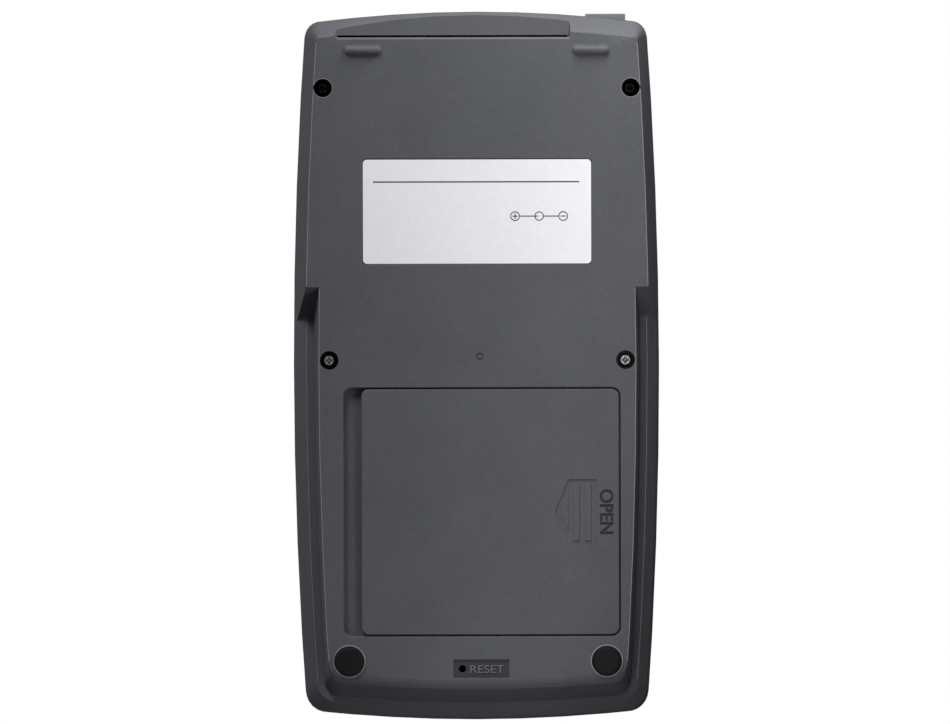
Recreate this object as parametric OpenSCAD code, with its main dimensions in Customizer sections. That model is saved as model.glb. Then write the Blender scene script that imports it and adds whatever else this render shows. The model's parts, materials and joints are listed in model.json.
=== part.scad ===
// Handheld printing calculator, powered by four AA cells or an adaptor.
// X runs to the user's right, Y from the user to the rear edge, Z up from the table.
// The origin lies on the table under the middle of the case.

/* [Case outline] */
// Greatest width of the case, at the split line
body_w = 102; // [100:0.5:108]
// Length of the case from front edge to rear edge
body_l = 197.6; // [195:0.2:204]
// Radius of the long side edges in plan
side_r = 1350; // [1100:50:2500]
// Radius of the rear edge in plan
rear_r = 357; // [300:1:500]
// Radius of the front edge in plan
front_r = 418; // [300:1:600]
// Corner radius at the front
front_corner_r = 6; // [5:0.5:8]
// Corner radius at the rear
rear_corner_r = 4.5; // [3.5:0.5:6]
// Wall thickness of both case halves
wall = 2; // [1.7:0.1:2.2]

/* [Case heights] */
// Height of the flat belly above the table
belly_z = 1.2; // [1:0.1:1.6]
// Underside of the thin front slab
slab_z = 13.2; // [12:0.2:14]
// Split line between the two case halves
split_z = 20; // [19.6:0.1:20.4]
// Keypad deck
deck_z = 29; // [28.6:0.1:30]
// Roof of the printer housing
roof_z = 43.5; // [43:0.1:46]

/* [Case drafts and bevels] */
// Draw-in of the side walls between split line and belly
side_draft = 3.1; // [2.4:0.1:3.6]
// Draw-in of the rear wall between split line and belly
rear_draft = 4.7; // [3.6:0.1:5.4]
// Draw-in of the top case between split line and roof
top_draft = 2.2; // [1.4:0.1:3]
// Bevel round the keypad deck
deck_bevel = 1.6; // [0.8:0.1:2]
// Bevel round the printer roof
roof_bevel = 2.4; // [1.2:0.1:3]
// Distance from the rear edge to the foot of the ramp on the belly
ramp_foot = 76.9; // [74:0.1:80]
// Run of the ramp between belly and slab
ramp_run = 7.8; // [5:0.1:10]
// Distance from the rear edge to the top of the display slope
slope_top = 50.8; // [49.5:0.1:52]
// Run of the display slope
slope_run = 26; // [24:0.5:28]

/* [Battery bulge] */
// Side inset of the bulge at the belly
bulge_side = 6.7; // [6:0.1:7.4]
// Side inset of the bulge at the slab
bulge_side_root = 5.3; // [4.6:0.1:6]
// Front inset of the bulge at the belly
bulge_front = 8.9; // [8:0.1:10.6]
// Front inset of the bulge at the slab
bulge_front_root = 4.8; // [4.4:0.1:6.4]
// Corner radius of the bulge
bulge_corner_r = 4.5; // [3:0.5:6]
// Extra draw-in of the rolled front edge of the bulge
bulge_roll = 1.4; // [0.8:0.1:2]
// Height of that rolled edge
bulge_roll_h = 1; // [0.6:0.1:1.4]

/* [Battery door and bay] */
// Material left on both sides of the battery door together
door_margin = 30.2; // [29:0.1:32]
// Length of the battery door
door_l = 68.4; // [67:0.1:70]
// Thickness of the battery door
door_t = 2; // [1.6:0.1:2.2]
// Corner radius of the door
door_r = 2; // [1:0.1:3]
// Middle of the door to the left of the middle of the case
door_offset = 3.5; // [2:0.1:4.5]
// Distance from the front edge to the front of the door
door_front = 23.8; // [23:0.1:25]
// Slide of the door before it lifts off
door_slide = 4.7; // [4:0.1:4.8]
// Gap round the door
door_gap = 0.45; // [0.3:0.05:0.5]
// Thickness of the ledge that carries the door
ledge_t = 1.5; // [1.2:0.1:1.8]
// Ledge on the two ends of the cells
ledge_end = 7; // [6.4:0.1:7.4]
// Ledge on the two long sides of the bay
ledge_side = 3; // [2.6:0.1:3.4]
// Depth of the undercut for the door hooks
hook_reach = 1.5; // [1.2:0.1:2]
// Length of one door hook
hook_l = 6; // [4:0.5:8]
// Diameter of an AA cell
cell_d = 14.5; // [14:0.1:14.6]
// Spacing of the cells
cell_pitch = 15; // [14.7:0.1:15.2]
// Free height over the cells
cell_room = 0.7; // [0.4:0.1:0.8]
// Wall of the battery bay
bay_wall = 1.5; // [1.2:0.1:1.8]
// Thickness of the contact plates
contact_t = 0.4; // [0.3:0.05:0.6]
// Free length of the contact springs
spring_l = 8; // [7:0.5:9]
// Depth of the arrow in the battery door
arrow_sink = 0.3; // [0.2:0.05:0.5]
// Length of the arrow in the battery door
arrow_l = 11.7; // [10:0.1:13]
// Width of the arrow in the battery door
arrow_w = 18; // [14:0.1:20]
// Distance from the edge of the door to the tail of the arrow
arrow_edge = 6.2; // [5:0.1:8]
// Turns of one contact spring
spring_turns = 5; // [4:1:5]
// Wire diameter of the contact springs
spring_wire = 0.7; // [0.5:0.1:0.8]

/* [Screws and feet] */
// Diameter of the screw wells
well_d = 5.2; // [4.8:0.1:5.4]
// Wall of the screw wells
well_wall = 1.6; // [1.2:0.1:1.8]
// Material left between a rear well and the belly edge
well_edge = 0.2; // [0.2:0.1:1]
// Distance from the rear edge to the rear wells
rear_well = 21.4; // [20:0.1:22]
// Distance from the ramp to the middle wells
mid_well = 12.6; // [12:0.1:13.4]
// Material left between a middle well and the bulge edge
mid_well_edge = 0.4; // [0.3:0.1:1.2]
// Height of the screw seats in the rear wells
rear_seat_z = 15; // [14:0.2:16]
// Height of the screw seats in the middle wells
mid_seat_z = 7.6; // [6.6:0.2:9]
// Head diameter of the case screws
screw_head_d = 3.8; // [3.4:0.1:4.2]
// Head height of the case screws
screw_head_h = 1.5; // [1.2:0.1:1.8]
// Shank diameter of the case screws
screw_d = 2.2; // [2:0.1:2.4]
// Reach of the case screws into the top case
screw_reach = 7; // [5:0.5:8]
// Thickness of the screw seats
seat_t = 2; // [1.6:0.1:2.4]
// Diameter of the screw columns of the top case
column_d = 4.8; // [4.4:0.1:4.8]
// Diameter of the rubber feet
foot_d = 8.2; // [7.4:0.1:8.6]
// Depth of the foot recess
foot_sink = 0.8; // [0.5:0.1:1]
// Width of the raised ring round a foot
foot_ring = 0.5; // [0.4:0.1:0.7]
// Height of the raised ring round a foot
foot_ring_h = 0.35; // [0.2:0.05:0.6]
// Distance of the feet from the sides of the case
foot_side = 15.1; // [15:0.1:17]
// Distance from the front edge to the feet
foot_front = 16.4; // [16:0.1:17]
// Length of a moulded rest rib
rib_l = 10.3; // [8:0.1:11]
// Width of a moulded rest rib
rib_w = 2.7; // [2.4:0.1:3]
// Distance of the rest ribs from the sides of the case
rib_side = 19.15; // [18:0.05:20]
// Distance from the rear edge to the rest ribs
rib_rear = 10.95; // [10:0.05:12]

/* [Label and reset] */
// Width of the bare case on both sides of the label together
label_margin = 38.4; // [36:0.1:42]
// Length of the label
label_l = 29; // [26:0.1:31]
// Distance from the rear edge to the middle of the label
label_rear = 55.9; // [54:0.1:57]
// Thickness of the label
label_t = 0.25; // [0.15:0.05:0.3]
// Depth of the label recess
label_sink = 0.3; // [0.3:0.05:0.5]
// Corner radius of the label
label_r = 1.1; // [0.6:0.1:2]
// Width of the reset recess
reset_w = 15.6; // [13:0.1:17]
// Length of the reset recess
reset_l = 5.2; // [4.4:0.1:5.6]
// Distance from the front edge to the middle of the reset recess
reset_front = 14.3; // [14:0.1:15]
// Depth of the reset recess
reset_sink = 0.5; // [0.3:0.1:0.7]
// Diameter of the reset pinhole
pinhole_d = 2.1; // [1.8:0.1:2.3]
// Pinhole to the right of the middle of the case
pinhole_x = 4.36; // [3.8:0.02:4.6]
// Travel of the reset button
reset_travel = 0.4; // [0.3:0.05:0.4]

/* [Paper path] */
// Width of the paper inlet recess beyond the paper
inlet_margin = 7.8; // [6:0.1:9]
// Middle of the paper to the right of the middle of the case
paper_x = 6.65; // [6:0.05:7]
// Width taken by the gears, the jack and the screw columns beside the paper
paper_margin = 44.5; // [44:0.5:46]
// Distance from the rear edge to the inlet slot
inlet_rear = 7.3; // [6.6:0.1:8]
// Depth of the inlet recess at the slot
inlet_depth = 3.2; // [2.8:0.1:3.6]
// Width of the inlet slot
inlet_slot = 0.6; // [0.5:0.1:0.9]
// Distance from the rear edge to the paper exit
exit_rear = 14.9; // [14.6:0.1:15.2]
// Width of the paper exit
exit_slot = 2.8; // [2.4:0.1:3]

/* [Keys] */
// Distance from the side of the case to the middle of the first key column
key_side = 17.4; // [17:0.1:18]
// Distance from the foot of the display slope to the last key row
key_rear = 33; // [32.6:0.1:34]
// Space between two keys in a row
key_space_x = 3.2; // [3:0.1:4]
// Space between two key rows
key_space_y = 3.8; // [3.6:0.1:4.6]
// Corner radius of a key
key_r = 1.6; // [1:0.1:2.4]
// Height of the keys over the deck
key_h = 3.4; // [2.6:0.1:4]
// Draw-in of a key between foot and top
key_draft = 0.7; // [0.4:0.1:1]
// Depth of the finger dish
key_dish = 0.6; // [0.3:0.1:0.8]
// Gap round a key in the deck
key_gap = 0.3; // [0.25:0.05:0.4]
// Width of the lip that holds a key under the deck
key_lip = 0.7; // [0.5:0.05:0.75]
// Thickness of that lip
key_lip_t = 0.9; // [0.7:0.1:1]
// Travel of a key
key_travel = 1; // [0.8:0.1:1.1]
// Wall of a hollow key
key_wall = 1.2; // [1:0.1:1.4]
// Distance from the front edge to the first key row
key_front = 16.8; // [16.6:0.1:17.4]

/* [Switches] */
// Distance from the foot of the display slope to the row of slide switches
switch_rear = 10; // [9.4:0.1:10.6]
// Width of the deck that isn't shared among the slide switches
switch_margin = 18; // [16:0.5:20]
// Length of a switch knob
knob_w = 5; // [4:0.1:6]
// Width of a switch knob
knob_l = 3.6; // [3:0.1:4]
// Height of a switch knob over the deck
knob_h = 2; // [1.4:0.1:2.6]
// Travel of a switch knob to each side
knob_travel = 3; // [2:0.5:3]

/* [Board] */
// Thickness of the circuit board
board_t = 1.6; // [1.2:0.1:1.6]
// Underside of the circuit board
board_z = 22; // [21.9:0.1:22.2]
// Distance from the side of the case to the board
board_side = 6; // [5.8:0.1:6.2]
// Room between the tail of the board and the screw columns
board_tail_gap = 1.7; // [1:0.1:3]
// Thickness of the keypad mat
mat_t = 0.9; // [0.6:0.1:1]
// Height of the domes on the mat
dome_h = 1.4; // [1:0.1:1.6]
// Room between a dome and the edge of its key
dome_edge = 1.7; // [1.6:0.1:2.4]

/* [Display] */
// Width of the slope on both sides of the display window together
window_margin = 36; // [32:0.5:42]
// Length of the display window up the slope
window_l = 20; // [18:0.5:21]
// Thickness of the display window
window_t = 1.1; // [0.8:0.1:1.2]
// Rim that carries the window
window_rim = 2; // [1.4:0.1:2.4]
// Thickness of the display panel
panel_t = 2.6; // [2:0.1:3]

/* [Printer] */
// Inner height of the case that the sizes of this mechanism are given for
print_room = 38.3; // [38:0.1:38.6]
// Distance from the rear edge to the axis of the print drum
drum_rear = 22.3; // [22.1:0.1:22.5]
// Height of the axis of the print drum over the inner floor
drum_lift = 23.8; // [23.6:0.1:24]
// Radius of the print drum
drum_radius = 7.2; // [6.8:0.1:7.3]
// Radius of the ink roller
ink_radius = 6; // [5.4:0.1:6.1]
// Direction of the ink roller from the drum, in degrees
ink_angle = 150; // [148:1:152]
// Radius of the feed roller
feed_radius = 5.8; // [5:0.1:6]
// Direction of the feed roller from the drum, in degrees
feed_angle = 275.4; // [274:0.2:277]
// Direction of the motor from the drum, in degrees
motor_angle = 212.4; // [211:0.2:214]
// Radius of the motor
motor_radius = 7; // [6.4:0.1:7.1]
// Length of the motor
motor_l = 20; // [16:0.5:22]
// Module of the gear teeth
tooth_module = 0.8; // [0.8:0.01:0.82]
// Teeth of the motor pinion
pinion_teeth = 13; // [13:1:13]
// Teeth of the drum gear
drum_teeth = 24; // [24:1:24]
// Teeth of the feed gear
feed_teeth = 16; // [16:1:16]
// Thickness of the gears
gear_t = 3; // [2.4:0.1:3.2]
// Radius of the shafts
shaft_r = 1.5; // [1.2:0.1:1.6]
// Thickness of the printer side plates
plate_t = 1.6; // [1.2:0.1:1.8]
// Gap between the drum and what runs beside it
roll_gap = 0.3; // [0.2:0.05:0.4]
// Width of the printer cover beyond the paper
cover_margin = 10.5; // [8:0.5:11]
// Distance from the rear edge to the hinge of the cover
cover_hinge_rear = 44.8; // [44:0.1:46]
// Length of the cover behind its hinge
cover_l = 26; // [25:0.1:26.2]
// Radius of the hinge barrel of the cover
barrel_r = 1.5; // [1.4:0.1:1.6]
// Radius of the hinge pins of the cover
hinge_pin_r = 1; // [0.8:0.05:1.1]
// Length of the hinge pins of the cover
hinge_pin_l = 2.6; // [2:0.1:3]

/* [Adaptor jack] */
// Width of the jack boss on the rear wall
jack_boss_w = 11.1; // [10.6:0.1:11.6]
// Distance from the left side of the case to the middle of the jack
jack_side = 14.75; // [14.4:0.05:15.2]
// Height of the jack axis
jack_z = 27.5; // [27:0.1:28]
// Distance from the rear edge to the face of the boss
jack_face = 0.6; // [0.4:0.1:1]
// Diameter of the plug barrel
plug_d = 5.5; // [5:0.1:5.6]
// Diameter of the centre pin of the jack
jack_pin_d = 2.1; // [1.6:0.1:2.5]

/* [Hidden] */
$fn = 48;

// Clearances and small shared sizes
seat_gap = 0.05;
run_gap = 0.05;
loose_gap = 0.2;
slide_gap = 0.3;
slice_t = 0.01;
far = 400;

// Case outline and profiles
half_l = body_l / 2;
half_b = body_w / 2;
belly_corner_r = 0.8;
belly_in_z = belly_z + wall;
deck_in_z = deck_z - wall;
roof_in_z = roof_z - wall;
ramp_y1 = half_l - ramp_foot;
ramp_y0 = ramp_y1 - ramp_run;
slope_y1 = half_l - slope_top;
slope_y0 = slope_y1 - slope_run;
slope_rise = roof_z - deck_z;
slope_angle = atan2(slope_rise, slope_run);

function half_w(y) = body_w / 2 - side_r + sqrt(side_r * side_r - y * y);
function rear_edge(x) = half_l - rear_r + sqrt(rear_r * rear_r - x * x);
function front_edge(x) = half_l - front_r + sqrt(front_r * front_r - x * x);
function ramp_y(z) = ramp_y1 + (belly_z - z) * ramp_run / (slab_z - belly_z);
function slope_y(z) = slope_y0 + (z - deck_z) * slope_run / slope_rise;
function draft_at(z, at_belly, at_slab) =
    at_belly + (at_slab - at_belly) * (z - belly_z) / (slab_z - belly_z);
ramp_shift = wall * norm([ramp_run, slab_z - belly_z]) / (slab_z - belly_z);
slope_shift = wall * norm([slope_run, slope_rise]) / slope_rise;
bulge_overlap = 12;

// Battery bay
door_w = body_w - door_margin;
door_x0 = -door_offset - door_w / 2;
door_x1 = door_x0 + door_w;
door_y0 = -half_l + door_front;
door_y1 = door_y0 + door_l;
door_yc = (door_y0 + door_y1) / 2;
pocket_x1 = door_x1 + door_slide + slide_gap;
ledge_z = belly_z + door_t + loose_gap;
ledge_top = ledge_z + ledge_t;
bay_x0 = door_x0 + ledge_end;
bay_x1 = door_x1 - ledge_end;
bay_y0 = door_y0 + ledge_side;
bay_y1 = door_y1 - ledge_side;
bay_top = belly_z + door_t + cell_d + cell_room;
bay_roof = bay_top + bay_wall;
cell_z = belly_z + door_t + cell_d / 2 + loose_gap;
CELLS = [-1.5, -0.5, 0.5, 1.5];
function cell_y(k) = door_yc + k * cell_pitch;
hook_t = 1;
hook_xs = [door_x0 + 2 * ledge_end, door_x1 - 2 * ledge_end - hook_l];

// Screws, feet and reset
rear_well_y = half_l - rear_well;
rear_well_x = half_w(rear_well_y) - side_draft - well_edge - well_d / 2;
mid_well_y = ramp_y0 - mid_well;
mid_well_x = half_w(mid_well_y) - bulge_side - mid_well_edge - well_d / 2;
WELLS = [
    [rear_well_x, rear_well_y, rear_seat_z],
    [-rear_well_x, rear_well_y, rear_seat_z],
    [mid_well_x, mid_well_y, mid_seat_z],
    [-mid_well_x, mid_well_y, mid_seat_z]
];
screw_hole_d = screw_d + 0.4;
foot_x = half_b - foot_side;
foot_y = foot_front - half_l;
rib_x = half_b - rib_side;
rib_y = half_l - rib_rear;
gate_r = 1.1;
gate_sink = 0.3;
gate_x = -0.6;
gate_ahead = 0.9;
label_w = body_w - label_margin;
label_y = half_l - label_rear;
reset_x = -0.9;
reset_y = reset_front - half_l;
reset_body = 6;
reset_body_h = 3.4;
reset_button_d = 3.2;
reset_bore_h = 2.2;
reset_z = board_z - reset_body_h;

// Keys and what lies under them
COLUMNS = 5;
ROWS = 6;
key_pitch_x = 2 * (half_b - key_side) / (COLUMNS - 1);
key_pitch_y = (slope_y0 - key_rear + half_l - key_front) / (ROWS - 1);
key_w = key_pitch_x - key_space_x;
key_l = key_pitch_y - key_space_y;
dome_d = min(key_w, key_l) - 2 * dome_edge;
post_d = dome_d * 4 / 7;
function key_x(column) = (column - (COLUMNS - 1) / 2) * key_pitch_x;
function key_y(row) = key_front - half_l + row * key_pitch_y;
lip_top = deck_in_z - loose_gap;
lip_z = lip_top - key_lip_t;
key_top = deck_z + key_h;
board_top = board_z + board_t;
mat_top = board_top + mat_t;
dome_top = mat_top + dome_h;
board_y0 = key_y(0) - key_l / 2 - 3;
board_y1 = key_y(ROWS - 1) + key_l / 2 + 1.5;
board_half = half_b - board_side;
board_tail_half = mid_well_x - column_d / 2 - board_tail_gap;
board_tail_y = slope_y0 - 3.3;
board_hole_edge = 1.6;
board_boss_x = board_half - board_hole_edge;
board_boss_r = 1.9;
board_screw_r = 0.8;
board_screw_ys = [for (row = [0, 2, 4]) key_y(row) + key_pitch_y / 2];
ribbon_w = 28;

// Name, column, row, rows covered and tone of every key
KEYS = [
    ["key_paper_feed", 0, 5, 1, "dark"],
    ["key_memory_recall", 1, 5, 1, "dark"],
    ["key_memory_minus", 2, 5, 1, "dark"],
    ["key_memory_plus", 3, 5, 1, "dark"],
    ["key_divide", 4, 5, 1, "dark"],
    ["key_backspace", 0, 4, 1, "dark"],
    ["key_root", 1, 4, 1, "dark"],
    ["key_percent", 2, 4, 1, "dark"],
    ["key_sign", 3, 4, 1, "dark"],
    ["key_multiply", 4, 4, 1, "dark"],
    ["key_subtotal", 0, 3, 1, "dark"],
    ["key_7", 1, 3, 1, "light"],
    ["key_8", 2, 3, 1, "light"],
    ["key_9", 3, 3, 1, "light"],
    ["key_minus", 4, 3, 1, "dark"],
    ["key_non_add", 0, 2, 1, "dark"],
    ["key_4", 1, 2, 1, "light"],
    ["key_5", 2, 2, 1, "light"],
    ["key_6", 3, 2, 1, "light"],
    ["key_plus", 4, 1, 2, "dark"],
    ["key_clear_entry", 0, 1, 1, "warm"],
    ["key_1", 1, 1, 1, "light"],
    ["key_2", 2, 1, 1, "light"],
    ["key_3", 3, 1, 1, "light"],
    ["key_all_clear", 0, 0, 1, "warm"],
    ["key_0", 1, 0, 1, "light"],
    ["key_double_zero", 2, 0, 1, "light"],
    ["key_decimal", 3, 0, 1, "light"],
    ["key_equals", 4, 0, 1, "dark"]
];

// Name and place, counted from the middle, of every slide switch
SWITCHES = [
    ["power_switch_knob", -1],
    ["rounding_switch_knob", 0],
    ["decimal_switch_knob", 1]
];
switch_y = slope_y0 - switch_rear;
switch_pitch = (body_w - switch_margin) / len(SWITCHES);

// Display, on the slope
window_w = body_w - window_margin;
slope_mid = [0, (slope_y0 + slope_y1) / 2, (deck_z + roof_z) / 2];

// Printer, fitted to the height of the case, and its axes as places in the Y and Z plane
print_fit = (roof_in_z - belly_in_z) / print_room;
drum_r = drum_radius * print_fit;
ink_r = ink_radius * print_fit;
feed_r = feed_radius * print_fit;
motor_r = motor_radius * print_fit;
gear_module = tooth_module * print_fit;
drum_z = belly_in_z + drum_lift * print_fit;
drum_axis = [half_l - drum_rear, drum_z];
motor_axis = drum_axis + gear_reach(pinion_teeth, drum_teeth) * heading(motor_angle);
feed_axis = drum_axis + gear_reach(feed_teeth, drum_teeth) * heading(feed_angle);
ink_axis = drum_axis + (drum_r + ink_r + roll_gap) * heading(ink_angle);
function heading(angle) = [cos(angle), sin(angle)];
function gear_reach(teeth_a, teeth_b) = (teeth_a + teeth_b) * gear_module / 2;
paper_w = body_w - paper_margin;
paper_y = half_l - exit_rear;
inlet_w = paper_w + inlet_margin;
frame_x0 = paper_x - paper_w / 2 - 2.4;
frame_x1 = paper_x + paper_w / 2 + 1;
frame_y0 = ink_axis[0] - ink_r - 2;
frame_y1 = paper_y + 5;
frame_room = 2.9;
frame_top = roof_in_z - frame_room;
gear_x1 = frame_x0 - plate_t - 1.1;
gear_x0 = gear_x1 - gear_t;
shaft_x1 = frame_x1 + plate_t + 0.1;

// Printer cover, tear bar and jack
cover_w = paper_w + cover_margin;
hinge_y = half_l - cover_hinge_rear;
hinge_z = roof_z - barrel_r - 0.1;
lug_t = hinge_pin_l + 0.8;
tear_t = 1.2;
tear_sink = 0.4;
tear_w = paper_w + 4;
tear_l = 4.6;
tear_teeth = 41;
tear_tooth = 0.8;
jack_x = half_b - jack_side;
jack_body_w = 9.4;
jack_body_h = 10;
jack_body_l = 9.5;
jack_nose_r = plug_d / 2 + 1.2;
jack_boss_h = 12;
cradle_t = 0.9;
jack_boss_y = half_l - jack_face;
jack_back = rear_edge(jack_x + jack_body_w / 2) - wall - top_draft - jack_body_l;

CASE_GREY = [0.33, 0.33, 0.35];
TOP_GREY = [0.4, 0.41, 0.43];
DARK_KEY = [0.27, 0.28, 0.3];
LIGHT_KEY = [0.82, 0.82, 0.8];
WARM_KEY = [0.72, 0.36, 0.2];
METAL = [0.75, 0.76, 0.78];
NYLON = [0.88, 0.87, 0.82];
RUBBER = [0.1, 0.1, 0.1];

FIXED_NODES = [
    "bottom_case", "top_case", "battery_door", "rating_label", "rubber_feet", "case_screws",
    "main_board", "board_screws", "keypad_mat", "display_window", "display_panel",
    "display_ribbon", "printer_cover", "tear_bar", "printer_frame", "print_drum", "drum_gear",
    "ink_roller", "feed_roller", "feed_gear", "drive_motor", "motor_pinion", "hammer_bank",
    "dc_jack", "battery_contacts", "battery_springs", "reset_switch", "reset_button"
];

// Case outline in plan, drawn in from the sides, the front and the rear
module outline(side, front, rear) {
    intersection() {
        translate([body_w / 2 - side_r, 0])
            circle(side_r - side, $fn = 340);
        translate([side_r - body_w / 2, 0])
            circle(side_r - side, $fn = 340);
        translate([0, half_l - rear_r])
            circle(rear_r - rear, $fn = 192);
        translate([0, front_r - half_l])
            circle(front_r - front, $fn = 220);
    }
}

// Thin slice of the case at one height: the outline without its corners, and round corners
module slice(z, side, front, rear, front_corner, rear_corner) {
    x_rear = half_w(half_l - rear - rear_corner) - side - rear_corner;
    x_front = half_w(half_l - front - front_corner) - side - front_corner;
    y_rear = rear_edge(x_rear) - rear - rear_corner;
    y_front = -front_edge(x_front) + front + front_corner;
    translate([0, 0, z])
        linear_extrude(slice_t) {
            intersection() {
                outline(side, front, rear);
                union() {
                    translate([-far, y_front])
                        square([2 * far, y_rear - y_front]);
                    translate([-x_rear, 0])
                        square([2 * x_rear, far]);
                    translate([-x_front, -far])
                        square([2 * x_front, far]);
                }
            }
            for (s = [-1, 1]) {
                translate([s * x_rear, y_rear])
                    circle(rear_corner, $fn = 24);
                translate([s * x_front, y_front])
                    circle(front_corner, $fn = 24);
            }
        }
}

// Prism along X from an outline in the Y and Z plane
module along_x(x0, x1) {
    translate([x0, 0, 0])
        rotate([90, 0, 90])
            linear_extrude(x1 - x0)
                children();
}

// Round bar along X about a point of the Y and Z plane
module bar_x(axis, r, x0, x1) {
    translate([x0, axis[0], axis[1]])
        rotate([0, 90, 0])
            cylinder(r = r, h = x1 - x0);
}

// Rounded rectangle about the origin, with true round corners
module rounded(w, l, r) {
    square([w - 2 * r, l], center = true);
    square([w, l - 2 * r], center = true);
    for (sx = [-1, 1], sy = [-1, 1])
        translate([sx * (w / 2 - r), sy * (l / 2 - r)])
            circle(r);
}

// Box between two corners
module block(low, high) {
    translate(low)
        cube(high - low);
}

// Places whose parts follow the four case screws
module at_wells() {
    for (w = WELLS)
        translate([w[0], w[1], 0]) {
            $seat_z = w[2];
            children();
        }
}

// Bottom case: drafted shell, ramp, battery bulge
module bottom_outer() {
    intersection() {
        hull() {
            slice(belly_z, side_draft, side_draft, rear_draft, front_corner_r, belly_corner_r);
            slice(split_z - slice_t, 0, 0, 0, front_corner_r, rear_corner_r);
        }
        union() {
            slab_limit();
            along_x(-far, far)
                polygon([
                    [ramp_y(split_z + 2), split_z + 2],
                    [ramp_y(belly_z - 2), belly_z - 2],
                    [far, belly_z - 2],
                    [far, split_z + 2]
                ]);
            bulge(0, belly_z - 0.5, slab_z + 2);
        }
    }
}

// Everything above the slab's underside, with its bevelled lower edge
module slab_limit() {
    rise = 8 + side_draft;
    hull() {
        slice(slab_z, side_draft, side_draft, side_draft, front_corner_r, rear_corner_r);
        slice(slab_z + rise, side_draft - rise, side_draft - rise, side_draft - rise,
            front_corner_r + rise, rear_corner_r + rise);
    }
}

// The battery bulge between two heights, drawn in by a wall, with a rolled front edge
module bulge(inset, z0, z1) {
    bulge_rear = ramp_foot - bulge_overlap;
    roll_z = belly_z + bulge_roll_h;
    hull()
        for (z = [z0, max(z0, roll_z), z1]) {
            roll = max(0, roll_z - z) * bulge_roll / bulge_roll_h;
            slice(z, draft_at(z, bulge_side, bulge_side_root) + inset,
                draft_at(z, bulge_front, bulge_front_root) + inset + roll, bulge_rear + inset,
                bulge_corner_r, bulge_corner_r);
        }
}

module bottom_cavity() {
    intersection() {
        hull() {
            slice(belly_in_z, side_draft + wall, side_draft + wall, rear_draft + wall,
                front_corner_r - wall, belly_corner_r);
            slice(split_z + 1, wall, wall, wall, front_corner_r - wall, rear_corner_r - wall);
        }
        union() {
            block([-far, -far, slab_z + wall], [far, far, split_z + 2]);
            along_x(-far, far)
                polygon([
                    [ramp_y(split_z + 2) + ramp_shift, split_z + 2],
                    [ramp_y(belly_z) + ramp_shift, belly_z],
                    [far, belly_z],
                    [far, split_z + 2]
                ]);
            bulge(wall, belly_in_z, slab_z + wall + 2);
        }
    }
}

// What stands inside the bottom case: bay, door seat, screw wells, paper chute, reset guide
module bottom_inside() {
    block([bay_x0 - bay_wall, bay_y0 - hook_reach - bay_wall, belly_z],
        [bay_x1 + bay_wall, bay_y1 + hook_reach + bay_wall, bay_roof]);
    block([door_x0 - wall, door_y0 - wall, belly_z], [pocket_x1 + wall, door_y1 + wall, ledge_top]);
    at_wells()
        cylinder(d = well_d + 2 * well_wall, h = $seat_z + seat_t);
    along_x(paper_x - inlet_w / 2 - wall, paper_x + inlet_w / 2 + wall)
        offset(delta = wall)
            inlet_profile();
    translate([pinhole_x, reset_y, 0])
        cylinder(d = pinhole_d + 3, h = reset_z - 1.8);
}

// Wedge of the paper inlet in the rear wall, in the Y and Z plane
module inlet_profile() {
    slot_y = half_l - inlet_rear;
    polygon([
        [slot_y, belly_z - 1],
        [slot_y, belly_z + inlet_depth],
        [half_l + 0.4, split_z - 1.4],
        [half_l + 4, split_z - 1.4],
        [half_l + 4, belly_z - 1]
    ]);
}

module bottom_cuts() {
    // Door pocket, with the room that the door slides into
    translate([(door_x0 - door_gap + pocket_x1) / 2, door_yc, 0])
        linear_extrude(ledge_z)
            rounded(pocket_x1 - door_x0 + door_gap, door_l + 2 * door_gap, door_r + door_gap);
    // Bay for the cells, with the undercut and the notches for the door hooks
    block([bay_x0, bay_y0, 0], [bay_x1, bay_y1, bay_top]);
    block([bay_x0, bay_y0 - hook_reach, ledge_top], [bay_x1, bay_y1 + hook_reach, bay_top]);
    for (x = hook_xs)
        block([x + door_slide - slide_gap, bay_y0 - hook_reach, 0],
            [x + hook_l + door_slide + slide_gap, bay_y1 + hook_reach, bay_top]);
    // Screw wells and the holes through their seats
    at_wells() {
        translate([0, 0, -1])
            cylinder(d = well_d, h = $seat_z + 1);
        translate([0, 0, $seat_z - 1])
            cylinder(d = screw_hole_d, h = seat_t + 2);
    }
    // Foot recesses
    for (s = [-1, 1])
        translate([s * foot_x, foot_y, -1])
            cylinder(d = foot_d + 2 * seat_gap, h = 1 + belly_z + foot_sink);
    // Label recess
    translate([0, label_y, belly_z - 1])
        linear_extrude(1 + label_sink)
            rounded(label_w + 2 * loose_gap, label_l + 2 * loose_gap, label_r);
    // Reset recess and pinhole
    translate([reset_x, reset_y, belly_z - 1])
        linear_extrude(1 + reset_sink)
            rounded(reset_w, reset_l, 0.4);
    translate([pinhole_x, reset_y, 0])
        cylinder(d = pinhole_d, h = reset_z);
    // Paper inlet and its slot
    along_x(paper_x - inlet_w / 2, paper_x + inlet_w / 2)
        inlet_profile();
    block([paper_x - inlet_w / 2 + inlet_slot, half_l - inlet_rear, belly_z],
        [paper_x + inlet_w / 2 - inlet_slot, half_l - inlet_rear + inlet_slot, split_z - 4]);
    // Gate mark of the moulding
    translate([gate_x, mid_well_y + gate_ahead, belly_z - 1])
        difference() {
            cylinder(r = gate_r, h = 1 + gate_sink);
            cylinder(r = gate_r / 2, h = 2);
        }
}

module rest_ribs() {
    run = rib_l - rib_w;
    for (s = [-1, 1])
        translate([s * rib_x - run / 2, rib_y, rib_w / 2]) {
            rotate([0, 90, 0])
                cylinder(d = rib_w, h = run);
            sphere(d = rib_w);
            translate([run, 0, 0])
                sphere(d = rib_w);
        }
}

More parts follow.
